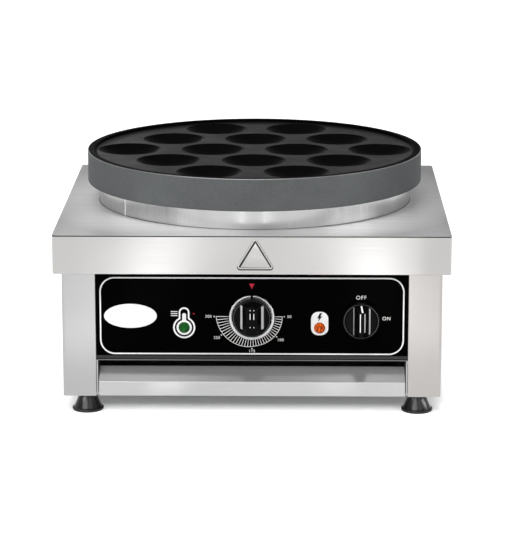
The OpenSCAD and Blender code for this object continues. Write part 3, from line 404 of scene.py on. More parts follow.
finishes = {
    post_steel: ["left_side_panel"],
    warm_steel: ["right_side_panel"],
    front_steel: ["rear_panel"],
    tray_steel: ["crumb_tray"],
    painted_shade_lip_steel: ["front_panel"],
    collar_steel: ["plate_collar"],
    mill_steel: ["base_pan", "divider_shelf", "left_tray_runner", "right_tray_runner", "heating_element",
                 "press_plate", "heat_pan", "front_cross_bar", "rear_cross_bar", "bulb_saddles"],
    zinc: ["plate_studs", "plate_nuts", "thermostat_nut", "switch_nut", "foot_screws", "foot_nuts",
           "deck_studs", "deck_nuts", "panel_studs", "panel_nuts", "rear_screws", "shelf_screws",
           "thermostat_shaft", "switch_shaft"],
    brass: ["thermostat_bulb", "thermostat_capillary", "terminal_screws", "earth_stud", "earth_nut"],
    wool: ["insulation_pad"],
    porcelain: ["thermostat_body", "green_lamp_holder", "orange_lamp_holder", "terminal_block"],
    housing_black: ["switch_body", "cable_gland", "gland_cap", "gland_locknut"],
    rubber: ["gland_seal"],
    sleeve: ["leads"],
    gloss_black: ["panel_overlay"],
}
for material, names in finishes.items():
    for name in names:
        slots = nodes[name].data.materials
        slots.clear()
        slots.append(material)


def softened(name, width):
    """Small round edges on a CAD node, as a folded or cut sheet has."""
    weld = nodes[name].modifiers.new("weld", "WELD")
    weld.merge_threshold = SLIVER * MM
    edges = nodes[name].modifiers.new("edges", "BEVEL")
    edges.width = width * MM
    edges.segments = 2
    edges.limit_method = "ANGLE"
    edges.angle_limit = math.radians(40)
    edges.harden_normals = True


sheet_edge = 0.35
gland_edge = 0.25
for name in ("left_side_panel", "right_side_panel", "front_panel", "crumb_tray"):
    softened(name, sheet_edge)
for name in ("gland_cap", "cable_gland"):
    softened(name, gland_edge)


# Deck: a sheet folded down all round, with a hole under the plate

deck_low, deck_high = box("deck")
collar_low, collar_high = box("plate_collar")
collar_r = (collar_high.x - collar_low.x) / 2
plate_x = (collar_low.x + collar_high.x) / 2
plate_y = (collar_low.y + collar_high.y) / 2
plate_place = standing(plate_x, plate_y)
as_drawn = standing(0, 0)
top_z = deck_high.z
sheet = 1.5
fold_r = 1.9
inner_r = fold_r - sheet
edge_r = 0.4
lap_r = 0.6
seam_h = 1.3
seam_d = 1.1
seam_in = 0.5
seam_lap = 0.2
seam_z = top_z - lap_r - seam_h
flat_in = 0.3
deck_corner_r = 4.0
least_r = 0.4
hole_r = 172.0
deck_steps = 6
deck_along = 12
# Painted sheen: the deck is coloured lighter round the collar and darker further out, standing in for the
# collar's reflected light
sheen_full_r = collar_r + 10.0
sheen_gone_r = collar_r + 80.0
sheen_gone_share = 0.45
painted_sheen_falloff(deck_steel, (plate_x, plate_y, top_z), sheen_full_r, sheen_gone_r, sheen_gone_share)


def deck_loop(inset, z):
    """The deck's outline, moved in by an inset."""
    corners = (deck_low.x + inset, deck_low.y + inset, deck_high.x - inset, deck_high.y - inset)
    radius = max(deck_corner_r - inset, least_r)
    return [(x, y, z) for x, y in rounded_rectangle(*corners, radius, deck_steps, deck_along)]


def deck_loops(levels):
    return [deck_loop(inset, z) for inset, z in levels]


def hole_loop(z):
    """The hole's edge, with its points in line with the outline's."""
    spokes = [Vector((x - plate_x, y - plate_y)).normalized() for x, y, _ in deck_loop(0, 0)]
    return [(plate_x + hole_r * s.x, plate_y + hole_r * s.y, z) for s in spokes]


lap = [(lap_r * (1 - math.cos(a)), top_z - lap_r * (1 - math.sin(a))) for a in angles(0, 90, 3)]
inner_fold = [(sheet + inner_r * (1 - math.cos(a)), top_z - sheet - inner_r * (1 - math.sin(a)))
              for a in angles(90, 0, 3)]
skirt_levels = [(sheet, top_z - sheet - inner_r), (sheet, deck_low.z + edge_r), (sheet - edge_r, deck_low.z),
                (edge_r, deck_low.z), (0, deck_low.z + edge_r), (0, seam_z), (seam_d, seam_z),
                (seam_d, seam_z + seam_h)]
seam_levels = [(seam_in, seam_z - seam_lap), (seam_in, seam_z + seam_h + seam_lap)]
top_levels = [(seam_d, top_z - lap_r)] + lap + [(lap_r + flat_in, top_z)]
under_levels = [(fold_r + flat_in, top_z - sheet)] + inner_fold
skirt_shape = loft(deck_loops(skirt_levels), as_drawn)
seam_shape = loft(deck_loops(seam_levels), as_drawn)
top_loops = deck_loops(top_levels) + [hole_loop(top_z), hole_loop(top_z - sheet)] + deck_loops(under_levels)
piece("deck_skirt", skirt_shape, skirt_steel, replaces=["deck"])
# The seam groove between the sheets is near-black, a painted shade
piece("deck_seam", seam_shape, painted_shade_dark)
piece("deck_top", loft(top_loops, as_drawn), deck_steel, replaces=["deck"])


# Collar seal: a thin grey bead where the collar meets the deck, which also paints the collar's contact shadow

plate_sides = 192
bead_r = 0.6
bead = [(collar_r, top_z)] + arc((collar_r, top_z), bead_r, 0, 90, 6)
piece("collar_seal_and_shadow", loft(turned(bead, plate_sides), plate_place, closed=True), seal_and_shadow_grey)

# The weld that closes the rolled collar, ground narrow, in a paler polished steel that paints a bright
# highlight line on it
weld_angle = math.radians(-142.7)
weld_half = 1.4
weld_h = 0.9
weld_sink = 0.1
weld_line = [(weld_half * math.cos(a), collar_r - weld_sink + weld_h * math.sin(a))
             for a in angles(0, 180, 8)]
weld_outline = [(out * math.cos(weld_angle) - side * math.sin(weld_angle),
                 out * math.sin(weld_angle) + side * math.cos(weld_angle)) for side, out in weld_line]
weld_shape = capped(stacked(weld_outline, (top_z, collar_high.z)), plate_place)
piece("collar_weld", weld_shape, weld_highlight_steel)


# Hem: a fine rolled edge along the bottom of the front panel's lip, in steel darkened as painted shade

panel_low = box("front_panel")[0]
hem_r = 0.6
hem_half = 176.0
hem_sink = 0.2
hem_ring = circle((panel_low.y - hem_sink, panel_low.z + hem_r), hem_r, 12)
hem_loops = [[(x, y, z) for y, z in hem_ring] for x in (-hem_half, hem_half)]
piece("lip_hem", capped(hem_loops, as_drawn), painted_shade_hem_steel)


# Tray slope: a dark satin facing on the sloped part of the tray's front, a painted shade for the dark slot
# that the slope reflects

tray_low, tray_high = box("crumb_tray")
slope_rise = 15.0
slope_length = slope_rise * math.sqrt(2)
facing_t = 0.15
facing_sink = 0.2
facing_margin = 0.4


def on_slope(along, out):
    """Depth and height of a point, by its way up the slope and its height off it."""
    lean = math.sqrt(0.5)
    return tray_low.y + lean * (along - out), tray_high.z - slope_rise + lean * (along + out)


slope_ends = (facing_margin, slope_length - facing_margin)
facing_outline = [on_slope(along, -facing_sink) for along in slope_ends]
facing_outline += [on_slope(along, facing_t) for along in reversed(slope_ends)]
facing_loops = [[(x, y, z) for y, z in facing_outline]
                for x in (tray_low.x + facing_margin, tray_high.x - facing_margin)]
piece("tray_slope", capped(facing_loops, as_drawn), painted_shade_slope_steel, TRAY)


# Badge: a triangle with a crowned border, a groove inside it painted dark as shade, a dark foot line round it
# painted as its shadow, and a bare field

badge_low, badge_high = box("skirt_badge")
badge_x = (badge_low.x + badge_high.x) / 2
badge_t = badge_high.y - badge_low.y
badge_w = badge_high.x - badge_low.x
badge_h = badge_high.z - badge_low.z
badge_r = 3.6
badge_steps = 8


def badge_loop(inset, height, shift=(0.0, 0.0)):
    """The triangle's outline, moved in by an inset and off its middle by a shift."""
    corner_x = badge_w / 2 - badge_r
    lean = math.degrees(math.atan2(corner_x, badge_h - 2 * badge_r))
    radius = badge_r - inset
    outline = arc((corner_x, badge_r), radius, -90, lean, badge_steps)
    outline += arc((0, badge_h - badge_r), radius, lean, 180 - lean, badge_steps)
    outline += arc((-corner_x, badge_r), radius, 180 - lean, 270, badge_steps)
    return [(x + shift[0], z + shift[1], height) for x, z in outline]


badge_place = facing_front(badge_x, badge_high.y, badge_low.z)
foot_w = 0.7
border_end = 2.1
# Border and field sit off the middle, so the groove's painted shade is wide on the left and narrow at the
# bottom
border_shift = (0.0, 0.9)
crown_h = 0.3
crown_half = (border_end - foot_w) / 2
groove_h = 0.3
groove_lap = 0.1
field_in = 3.5
field_shift = (0.35, -0.1)
field_edge_h = 0.6
field_h = 0.7
field_bevel = 0.2
crown = [(foot_w + crown_half * (1 - math.cos(a)), badge_t - crown_h * (1 - math.sin(a)))
         for a in angles(0, 180, 12)]
border_levels = [(foot_w, 0)] + crown + [(border_end, 0)]
border_loops = [badge_loop(inset, h, border_shift) for inset, h in border_levels]
piece("badge_border", loft(border_loops, badge_place, closed=True), front_steel,
      replaces=["skirt_badge"])
foot_loops = [badge_loop(0, 0), badge_loop(0, groove_h),
              badge_loop(foot_w + groove_lap, groove_h, border_shift)]
groove_loops = [badge_loop(border_end - groove_lap, groove_h, border_shift),
                badge_loop(field_in, groove_h, field_shift)]
groove_shape = together(loft(foot_loops, badge_place), loft(groove_loops, badge_place))
piece("badge_groove", groove_shape, painted_shade_dark)
field_levels = ((field_in, 0), (field_in, field_edge_h), (field_in + field_bevel, field_h))
field_loops = [badge_loop(inset, h, field_shift) for inset, h in field_levels]
piece("badge_field", loft(field_loops, badge_place, cap_last=True), front_steel)


# Cooking plate: a turned casting, with a black top and round moulds that have soft lips

plate_low, plate_high = box("cooking_plate")
plate_r = (plate_high.x - plate_low.x) / 2
rim_w = 8.0
rim_h = 3.0
wall = 8.0
slab = 18.0
cook_z = plate_high.z - rim_h
under_z = cook_z - slab
mould_depth = 10.0
mould_curve = 73.7
lip_curve = 3.5
lip_r = math.sqrt(mould_depth * (2 * (mould_curve + lip_curve) - mould_depth))
lip_angle = math.asin(lip_r / (mould_curve + lip_curve))
mould_pitch = 100.0
row_pitch = 70.0
mould_sides = 72
root_w = 0.8
flat_r = plate_r - rim_w - rim_h - root_w
lip_steps = 5
bowl_steps = 12

moulds = []
for row in range(-2, 3):
    count = 4 - abs(row)
    for i in range(count):
        moulds.append((plate_x + (i - (count - 1) / 2) * mould_pitch, plate_y + row * row_pitch))

lip = [(lip_r - lip_curve * math.sin(a), -lip_curve * (1 - math.cos(a)))
       for a in (lip_angle * i / lip_steps for i in range(lip_steps + 1))]
bowl_centre = mould_curve - mould_depth
bowl = [(mould_curve * math.sin(a), bowl_centre - mould_curve * math.cos(a))
        for a in (lip_angle * (1 - i / bowl_steps) for i in range(1, bowl_steps))]

# The flat between the moulds: a sheet of triangles, less those inside a mould
flat_points = [Vector(p) for p in circle((plate_x, plate_y), flat_r, plate_sides)]
loop_sizes = [plate_sides]
for mould in moulds:
    flat_points += [Vector(p) for p in circle(mould, lip_r, mould_sides)]
    loop_sizes.append(mould_sides)
flat_edges = []
start = 0
for size in loop_sizes:
    flat_edges += [(start + i, start + (i + 1) % size) for i in range(size)]
    start += size
same_place = 1e-6
inside_r = lip_r * 0.99
found_points, _, found_faces, *_ = delaunay_2d_cdt(flat_points, flat_edges, [], 0, same_place)
flat_faces = []
for face in found_faces:
    middle = sum((found_points[i] for i in face), Vector((0, 0))) / len(face)
    if all((middle - Vector(mould)).length > inside_r for mould in moulds):
        flat_faces.append(tuple(face))
flat_shape = ([(p.x, p.y, cook_z) for p in found_points], flat_faces)

bowl_loops = turned(lip + bowl, mould_sides)
bowl_shapes = [loft(bowl_loops, standing(*mould, cook_z), cap_last=True) for mould in moulds]
rim_steps = 4
edge_w = 0.9
edge_h = 0.8
rim_profile = filleted([
    (flat_r, cook_z, 0),
    (plate_r - rim_w - rim_h, cook_z, 1.6),
    (plate_r - rim_w, plate_high.z, 1.2),
    (plate_r - edge_w, plate_high.z, 0),
], rim_steps)
root_shape = loft(turned(rim_profile[:rim_steps + 2], plate_sides), plate_place)
rim_shape = loft(turned(rim_profile[rim_steps + 1:], plate_sides), plate_place)
for name, shape, coat in (("plate_rim", rim_shape, rim_black),
                          ("plate_top", together(flat_shape, root_shape), nonstick),
                          ("plate_moulds", together(*bowl_shapes), mould_shade_black)):
    piece(name, shape, coat, sharp=60, replaces=["cooking_plate"])
edge_profile = [(plate_r - edge_w, plate_high.z), (plate_r - 0.35, plate_high.z - 0.2),
                (plate_r, plate_high.z - 0.6), (plate_r, plate_high.z - edge_h)]
piece("plate_edge", loft(turned(edge_profile, plate_sides), plate_place), bare_edge)
side_profile = filleted([
    (plate_r, plate_high.z - edge_h, 0),
    (plate_r, plate_low.z, 1.6),
    (plate_r - wall, plate_low.z, 1.0),
    (plate_r - wall, under_z, 2.0),
    (2.0, under_z, 0),
])
side_shape = loft(turned(side_profile, plate_sides), plate_place, cap_last=True)
piece("plate_casting", side_shape, plate_side, replaces=["cooking_plate"])


# Feet: turned rubber with a flared lip, a hollow for the screw head and a bore for the screw

foot_top_r = 9.8
foot_lip_t = 4.0
foot_lip_w = 2.0
foot_recess_r = 7.0
foot_seat = 8.0
foot_bore_r = 3.3
foot_sides = 72
flank_steps = 14
flank_power = 1.5
for name in ("front_left_foot", "front_right_foot", "rear_left_foot", "rear_right_foot"):
    low, high = box(name)
    foot_r = (high.x - low.x) / 2
    flank_r = foot_r - foot_lip_w
    flank = [(foot_top_r + (flank_r - foot_top_r) * (1 - i / flank_steps) ** flank_power,
              foot_lip_t + (high.z - foot_lip_t) * i / flank_steps) for i in range(flank_steps + 1)]
    outer = filleted([(foot_recess_r, 0, 0), (foot_r, 0, 1.2), (foot_r, foot_lip_t - 0.8, 0.9),
                      (flank_r, foot_lip_t, 0)])
    inner = [(foot_bore_r, high.z), (foot_bore_r, foot_seat), (foot_recess_r, foot_seat)]
    middle = ((low.x + high.x) / 2, (low.y + high.y) / 2)
    shape = loft(turned(outer[:-1] + flank + inner, foot_sides), standing(*middle), closed=True)
    piece(name + "_moulding", shape, rubber, replaces=[name])


# Printed signs on the black fascia

INK = 0.06
CAPITAL_SHARE = 0.70
print_y = box("panel_overlay")[0].y
print_place = facing_front(0, print_y, 0)


def inked(loop, lift=0.0):
    """A flat printed shape inside one outline."""
    return capped(stacked(loop, (lift, lift + INK)), print_place)


def inked_band(outer, inner):
    """A flat printed shape between two outlines with as many points."""
    edges = ((outer, 0), (inner, 0), (inner, INK), (outer, INK))
    return loft([[(x, z, h) for x, z in loop] for loop, h in edges], print_place, closed=True)


def matching_circle(loop, centre, radius):
    """A circle with its points in the same directions from its centre as a loop's."""
    spokes = [(Vector(p) - Vector(centre)).normalized() for p in loop]
    return [(centre[0] + radius * s.x, centre[1] + radius * s.y) for s in spokes]


def lettering(words, x, z, height):
    """Words or a number in a plain face, centred on a point."""
    text = bpy.data.curves.new("lettering", "FONT")
    text.body = words
    text.align_x = "CENTER"
    text.align_y = "CENTER"
    text.size = height / CAPITAL_SHARE
    text.space_character = 1.14
    text.extrude = INK / 2
    holder = bpy.data.objects.new("lettering", text)
    scene.collection.objects.link(holder)
    bpy.context.view_layer.update()
    mesh = bpy.data.meshes.new_from_object(holder)
    points = [(x + v.co.x, print_y - INK / 2 - v.co.z, z + v.co.y) for v in mesh.vertices]
    faces = [tuple(p.vertices) for p in mesh.polygons]
    bpy.data.objects.remove(holder)
    bpy.data.meshes.remove(mesh)
    return points, faces


def front_centre(name):
    """The middle of a CAD node, as seen from the front."""
    low, high = box(name)
    return (low.x + high.x) / 2, (low.z + high.z) / 2


dial_x, dial_z = front_centre("knob_trim_ring")
switch_x, switch_z = front_centre("switch_knob")
lens_r = 6.2
lens_room = 0.15
lens_hole_r = lens_r + lens_room

# The frame line round the fascia
line_w = 1.6
frame_r = 17.0
frame_steps = 10
border = (-173.0, 72.4, 173.0, 162.8)
inner_border = (border[0] + line_w, border[1] + line_w, border[2] - line_w, border[3] - line_w)
outer_line = rounded_rectangle(*border, frame_r, frame_steps)
inner_line = rounded_rectangle(*inner_border, frame_r - line_w, frame_steps)
white_shapes = [inked_band(outer_line, inner_line)]

# The dial's scale: ticks under the knob that grow longer towards the hot end
tick_count = 33
tick_inner = 26.6
tick_half = 0.55
scale_r = 34.6
scale_growth = 6.0
growth_start = 80
scale_end = 180


def scale_radius(angle):
    """Outer radius of the scale, by the angle clockwise from three o'clock."""
    return scale_r + scale_growth * max(0.0, angle - growth_start) / (scale_end - growth_start)


def on_dial(radius, angle):
    """A point on the dial, by the angle clockwise from three o'clock."""
    a = math.radians(angle)
    return dial_x + radius * math.cos(a), dial_z - radius * math.sin(a)


for i in range(tick_count + 1):
    angle = scale_end * i / tick_count
    start = angle - tick_half
    end = angle + tick_half
    outer = scale_radius(angle)
    white_shapes.append(inked([on_dial(tick_inner, start), on_dial(outer, start),
                               on_dial(outer, end), on_dial(tick_inner, end)]))
arc_half = 0.28
arc_steps = 60
arc_angles = [scale_end * i / arc_steps for i in range(arc_steps + 1)]
scale_arc = [on_dial(scale_radius(a) + arc_half, a) for a in arc_angles]
scale_arc += [on_dial(scale_radius(a) - arc_half, a) for a in reversed(arc_angles)]
white_shapes.append(inked(scale_arc))
label_h = 3.2
mark_gap = 1.2
mark_l = 1.5
mark_half = 1.4
labels = (("50", 0, 42.5), ("100", 40, 42.5), ("175", 90, 40.6), ("250", 148, 47.0), ("300", 180, 49.5))
for words, angle, radius in labels:
    white_shapes.append(lettering(words, *on_dial(radius, angle), label_h))
    tip_r = scale_radius(angle) + mark_gap
    mark = [on_dial(tip_r, angle)]
    mark += [on_dial(tip_r + mark_l, angle + turn) for turn in (mark_half, -mark_half)]
    white_shapes.append(inked(mark))

# The thermometer sign round the green lamp
green = front_centre("green_lens")


def thermometer(bulb, half, top):
    """Outline of a thermometer: a round bulb with a round-ended stem above it."""
    opening = math.degrees(math.asin(half / bulb))
    bulb_arc = arc(green, bulb, 90 + opening, 450 - opening, 48)
    end_arc = arc((green[0], green[1] + top - half), half, 0, 180, 16)
    return bulb_arc + end_arc


white_shapes.append(inked_band(thermometer(12.6, 6.1, 23.7), thermometer(10.7, 4.3, 21.9)))
filled = thermometer(8.7, 2.2, 16.9)
white_shapes.append(inked_band(filled, matching_circle(filled, green, lens_hole_r)))
dash_x = green[0] - 15.1
dash_l = 7.6
dash_half = 0.45
for rise in (18.6, 16.2, 13.9):
    dash_z = green[1] + rise
    dash = rectangle(dash_x, dash_z - dash_half, dash_x + dash_l, dash_z + dash_half)
    white_shapes.append(inked(dash))
arrow_x = green[0] + 9.0
arrow_z = green[1] + 16.2
arrow_l = 3.0
arrow_half = 0.7
red_shapes = [inked([(arrow_x, arrow_z), (arrow_x + arrow_l, arrow_z - arrow_half),
                     (arrow_x + arrow_l, arrow_z + arrow_half)])]

# The white field with a lightning bolt round the orange lamp
orange = front_centre("orange_lens")
field = rounded_rectangle(orange[0] - 9.7, orange[1] - 8.6, orange[0] + 9.9, orange[1] + 18.9, 8.4, 12, 6)
white_shapes.append(inked_band(field, matching_circle(field, orange, lens_hole_r)))
bolt_rise = 12.2
bolt = [(0.2, 5.2), (-2.9, -1.0), (-0.9, -0.8), (-1.8, -5.0), (3.0, 1.6), (0.8, 1.3), (2.9, 5.0)]
bolt_shape = inked([(orange[0] + x, orange[1] + bolt_rise + z) for x, z in bolt], INK)

# The pointer above the dial, and the switch's two words
pointer_z = dial_z + 35.5
pointer_half = 3.0
pointer_top = pointer_z + 3.0
pointer_tip = pointer_z - 3.2
red_shapes.append(inked([(dial_x - pointer_half, pointer_top), (dial_x, pointer_tip),
                         (dial_x + pointer_half, pointer_top)]))
for words, across, up, height in (("OFF", 0.0, 25.4, 4.4), ("ON", 28.9, 1.0, 4.1)):
    white_shapes.append(lettering(words, switch_x + across, switch_z + up, height))

piece("white_print", together(*white_shapes), white_ink)
piece("red_print", together(*red_shapes), red_ink)
piece("bolt_print", bolt_shape, black_ink)

# A bare oval plate at the left of the fascia
oval_half_w = 30.0
oval_half_h = 14.0
oval_edge_h = 0.7
oval_h = 0.9
oval_sides = 96
oval_place = facing_front(-138.0, print_y, 117.5)
oval = [(oval_half_w * r, h) for r, h in filleted([(1.0, 0, 0), (1.0, oval_edge_h, 0.02), (0.0, oval_h, 0)])]
oval_loops = [[(x, z * oval_half_h / oval_half_w, h) for x, z, h in loop]
              for loop in turned(oval, oval_sides)]
piece("oval_plate", capped(oval_loops, oval_place), white_ink)


# Lamps: faceted lenses

def gem(rings, sides):
    """A dome of flat triangles, its rings turned by half a step each."""
    points, faces = [], []
    for k, (radius, height) in enumerate(rings):
        for i in range(sides):
            a = 2 * math.pi * (i + k / 2) / sides
            points.append((radius * math.cos(a), radius * math.sin(a), height))
    for k in range(len(rings) - 1):
        for i in range(sides):
            j = (i + 1) % sides
            first, second = k * sides, (k + 1) * sides
            faces.append((first + i, first + j, second + i))
            faces.append((first + j, second + j, second + i))
    faces.append(tuple(range(len(points) - sides, len(points))))
    return points, faces


lens_edge = 0.9
lens_rim_h = 1.2
lens_sides = 48
facet_sides = 12
facet_rings = [(5.4, 1.0), (4.9, 2.4), (3.3, 3.5), (1.5, 3.9)]
lens_rim = filleted([(lens_r - lens_edge, 0, 0), (lens_r, 0, 0), (lens_r, lens_rim_h, 0.4),
                     (lens_r - lens_edge, lens_rim_h, 0)])
dome_points, dome_faces = gem(facet_rings, facet_sides)
for name, glass in (("green_lens", green_glass), ("orange_lens", orange_glass)):
    x, z = front_centre(name)
    place = facing_front(x, print_y, z)
    dome = ([place(p) for p in dome_points], dome_faces)
    flange = loft(turned(lens_rim, lens_sides), place, closed=True)
    piece(name + "_facets", together(flange, dome), glass, sharp=8, replaces=[name])


# Knobs: a round base, a tapered grip across it, and fine bright lines on the grip, most of them painted
# highlights along its edges

BASE_H = 9.0
TOP_H = 23.7
DISH = 0.7
DRAFT = 4.0
HOLLOW_R = 9.0
HOLLOW_H = 4.2
MARK_SINK = 0.3
MARK_PROUD = 0.2
KNOB_SIDES = 96


def grip_loop(half, radius, height, steps=10):
    """Outline of a grip at one height: straight sides, and ends that follow a circle."""
    end = math.sqrt(radius * radius - half * half)
    angle = math.degrees(math.asin(half / radius))
    right = [(half, -end + 2 * end * i / steps) for i in range(steps)]
    top = arc((0, 0), radius, 90 - angle, 90 + angle, steps)[:-1]
    left = [(-half, end - 2 * end * i / steps) for i in range(steps)]
    bottom = arc((0, 0), radius, 270 - angle, 270 + angle, steps)[:-1]
    return [(x, z, height) for x, z in right + top + left + bottom]


def knob_shape(place, radius, base_half, top_half):
    """A knob as the CAD model has it, with its edges rounded."""
    edge = 1.2
    shoulder_r = radius - 3.2
    dish_r = radius - 3.8
    base = filleted([(HOLLOW_R, HOLLOW_H, 0), (HOLLOW_R, 0, 0), (radius, 0, 0.4), (radius, BASE_H, edge),
                     (shoulder_r, BASE_H, 0.5), (dish_r, BASE_H - DISH, 0.4), (1.0, BASE_H - DISH, 0)])
    base_shape = capped(turned(base, KNOB_SIDES), place)
    top_round = 1.0
    grip_r = radius - edge
    grip_steps = 6
    levels = []
    for i in range(grip_steps + 1):
        share = i / grip_steps
        half = base_half + (top_half - base_half) * share
        height = BASE_H - top_round + (TOP_H - BASE_H) * share
        levels.append(grip_loop(half, grip_r - DRAFT * share, height))
    for turn in angles(30, 90, 2):
        inset = top_round * (1 - math.cos(turn))
        height = TOP_H - top_round + top_round * math.sin(turn)
        levels.append(grip_loop(top_half - inset, grip_r - DRAFT - inset, height))
    return together(base_shape, capped(levels, place))


def flank_height(side, base_half, top_half):
    """Height of a grip's flank, or of the base beside it, at a distance from the middle."""
    share = (base_half - abs(side)) / (base_half - top_half)
    return BASE_H - DISH + (TOP_H - BASE_H) * min(max(share, 0.0), 1.0)


def flank_highlight(place, halves, side0, side1, z0, z1):
    """A narrow raised line along a grip's flank, which in a bright colour paints a highlight there."""
    proud = 0.3
    sink = 0.4
    taper = 0.6
    heights = [flank_height(side, *halves) for side in (side0, side1)]
    loops = []
    for z, lift in ((z0, 0.0), (z0 + taper, proud), (z1 - taper, proud), (z1, 0.0)):
        loops.append([(side0, z, heights[0] - sink), (side1, z, heights[1] - sink),
                      (side1, z, heights[1] + lift), (side0, z, heights[0] + lift)])
    return capped(loops, place)


def top_mark(place, outline):
    """A thin raised mark on a grip's flat top."""
    return capped(stacked(outline, (TOP_H - MARK_SINK, TOP_H + MARK_PROUD)), place)


def edge_highlight_ring(place, radius):
    """A fine grey line round a knob's base, a painted highlight on its edge."""
    half = 0.3
    sink = 0.2
    proud = 0.08
    profile = rectangle(radius - half, BASE_H - sink, radius + half, BASE_H + proud)
    return loft(turned(profile, KNOB_SIDES), place, closed=True)


knob_back = box("thermostat_knob")[1].y
dial_place = facing_front(dial_x, knob_back, dial_z)
dial_r = 22.2
dial_edge_r = 20.6
dial_halves = (13.0, 6.5)
piece("thermostat_knob_moulding", knob_shape(dial_place, dial_r, *dial_halves), knob_black, THERMOSTAT,
      replaces=["thermostat_knob"])
# The lines along the dial grip's flanks paint highlights; the strokes and dots sit on its top
dial_lines = [flank_highlight(dial_place, dial_halves, -12.8, -10.6, -11.4, 15.8),
              flank_highlight(dial_place, dial_halves, 10.9, 13.6, -11.6, 15.0)]
stroke_half = 0.4
stroke_r = 0.3
stroke_steps = 4
dot_r = 0.55
for side in (-1.6, 2.6):
    stroke = rounded_rectangle(side - stroke_half, 2.5, side + stroke_half, 9.5, stroke_r, stroke_steps)
    dial_lines.append(top_mark(dial_place, stroke))
    dial_lines += [top_mark(dial_place, circle((side, z), dot_r, 12)) for z in (13.2, -6.5)]
piece("thermostat_knob_lines", together(*dial_lines), print_and_highlight_white, THERMOSTAT)
piece("thermostat_knob_edge", edge_highlight_ring(dial_place, dial_edge_r), highlight_dim_grey, THERMOSTAT)

# The trim ring: a rounded bright ring with a dark notch at the top
ring_low, ring_high = box("knob_trim_ring")
ring_r = (ring_high.x - ring_low.x) / 2
ring_t = ring_high.y - ring_low.y
ring_room = 0.05
ring_in = dial_r + ring_room
ring_steps = 144
gap_half = 1.3
gap_angle = math.degrees(gap_half / ring_r)
ring_profile = filleted([(ring_in, 0.8, 0), (ring_in, 0, 0), (ring_r, 0, 0), (ring_r, ring_t, 0.6),
                         (ring_r - 0.9, ring_t, 0.3), (ring_in, ring_t - 0.5, 0), (ring_in, 1.0, 0)], 6)
ring_loops = [[(r * math.cos(a), r * math.sin(a), h) for r, h in ring_profile]
              for a in angles(90 + gap_angle, 450 - gap_angle, ring_steps)]
piece("trim_ring", capped(ring_loops, dial_place), chrome, THERMOSTAT,
      replaces=["knob_trim_ring"])
notch_half = 1.4
notch_top = ring_r - 0.4
notch_h = ring_t - 2.5
notch_outline = rectangle(-notch_half, ring_in, notch_half, notch_top)
notch_shape = capped(stacked(notch_outline, (0.0, notch_h)), dial_place)
piece("trim_ring_notch", notch_shape, knob_black, THERMOSTAT)

switch_place = facing_front(switch_x, knob_back, switch_z)
switch_r = 21.0
switch_edge_r = 19.5
switch_halves = (9.25, 3.0)
piece("switch_knob_moulding", knob_shape(switch_place, switch_r, *switch_halves), knob_black, SWITCH,
      replaces=["switch_knob"])
# Painted highlights along the switch grip's outer edges
switch_lines = [flank_highlight(switch_place, switch_halves, -8.9, -8.0, -15.6, 16.6),
                flank_highlight(switch_place, switch_halves, 8.8, 10.4, -15.4, 15.4)]
piece("switch_knob_lines", together(*switch_lines), highlight_grey, SWITCH)
# Painted highlights near the switch grip's top edges, with the real pointer added below
switch_marks = [flank_highlight(switch_place, switch_halves, 3.2, 4.5, -9.7, 11.9),
                top_mark(switch_place, rounded_rectangle(-1.9, -9.2, -0.9, 12.2, stroke_r, stroke_steps))]

# The switch's pointer: a bright line that runs over the end of the grip and down it
line_start = 13.9
line_half = 0.9
line_lean = 0.2
line_shift = 1.2
grip_end = 15.7
path_steps = 4
pointer_path = [(line_start, TOP_H), (grip_end - 1.0, TOP_H), (grip_end - 0.2, TOP_H - 0.5)]
pointer_path += [(grip_end + DRAFT * k / path_steps, TOP_H - 1.0 - (TOP_H - BASE_H) * k / path_steps)
                 for k in range(path_steps)]
pointer_loops = []
for k, (z, h) in enumerate(pointer_path):
    shift = line_shift - line_lean * k
    under = (z - 0.3, h - MARK_SINK)
    over = (z + 0.15, h + MARK_PROUD)
    pointer_loops.append([(shift - line_half, *under), (shift + line_half, *under),
                          (shift + line_half, *over), (shift - line_half, *over)])
switch_marks.append(capped(pointer_loops, switch_place))
piece("switch_knob_pointer", together(*switch_marks), print_and_highlight_white, SWITCH)
piece("switch_knob_edge", edge_highlight_ring(switch_place, switch_edge_r), highlight_dim_grey, SWITCH)


# Floor, light and camera

floor_reach = 15.0
floor_outline = rectangle(-floor_reach, -floor_reach, floor_reach, floor_reach)
floor_mesh = bpy.data.meshes.new("floor")
floor_mesh.from_pydata([(x, y, 0) for x, y in floor_outline], [], [(0, 1, 2, 3)])
floor = bpy.data.objects.new("floor", floor_mesh)
scene.collection.objects.link(floor)

# White paper that glows to the camera and in gloss, but hardly in a box where the body stands over it, which
# paints a tight shadow under the body on top of the real one
floor_grey = 0.90
seen_glow = 0.63
gloss_glow = 0.35
shaded_share = 0.11
shade_start = 0.148
shade_end = 0.182
shade_wider = 0.045
floor_paint, floor_tree, _ = new_material("floor_paint")
floor_tree.nodes.clear()
paper = add(floor_tree, "ShaderNodeBsdfDiffuse", {"Color": (*grey(floor_grey), 1.0)})
floor_place = add(floor_tree, "ShaderNodeTexCoord").outputs["Object"]
off_middle = add(floor_tree, "ShaderNodeVectorMath", {0: floor_place}, operation="ABSOLUTE").outputs["Vector"]
off_axes = add(floor_tree, "ShaderNodeSeparateXYZ", {"Vector": off_middle}).outputs
beside = maths(floor_tree, "SUBTRACT", off_axes["X"], shade_wider)
far = maths(floor_tree, "MAXIMUM", off_axes["Y"], beside)
open_floor = spread(floor_tree, far, shaded_share, 1.0, shade_start, shade_end)
rays = add(floor_tree, "ShaderNodeLightPath").outputs
mirrored = maths(floor_tree, "MULTIPLY", rays["Is Glossy Ray"], gloss_glow)
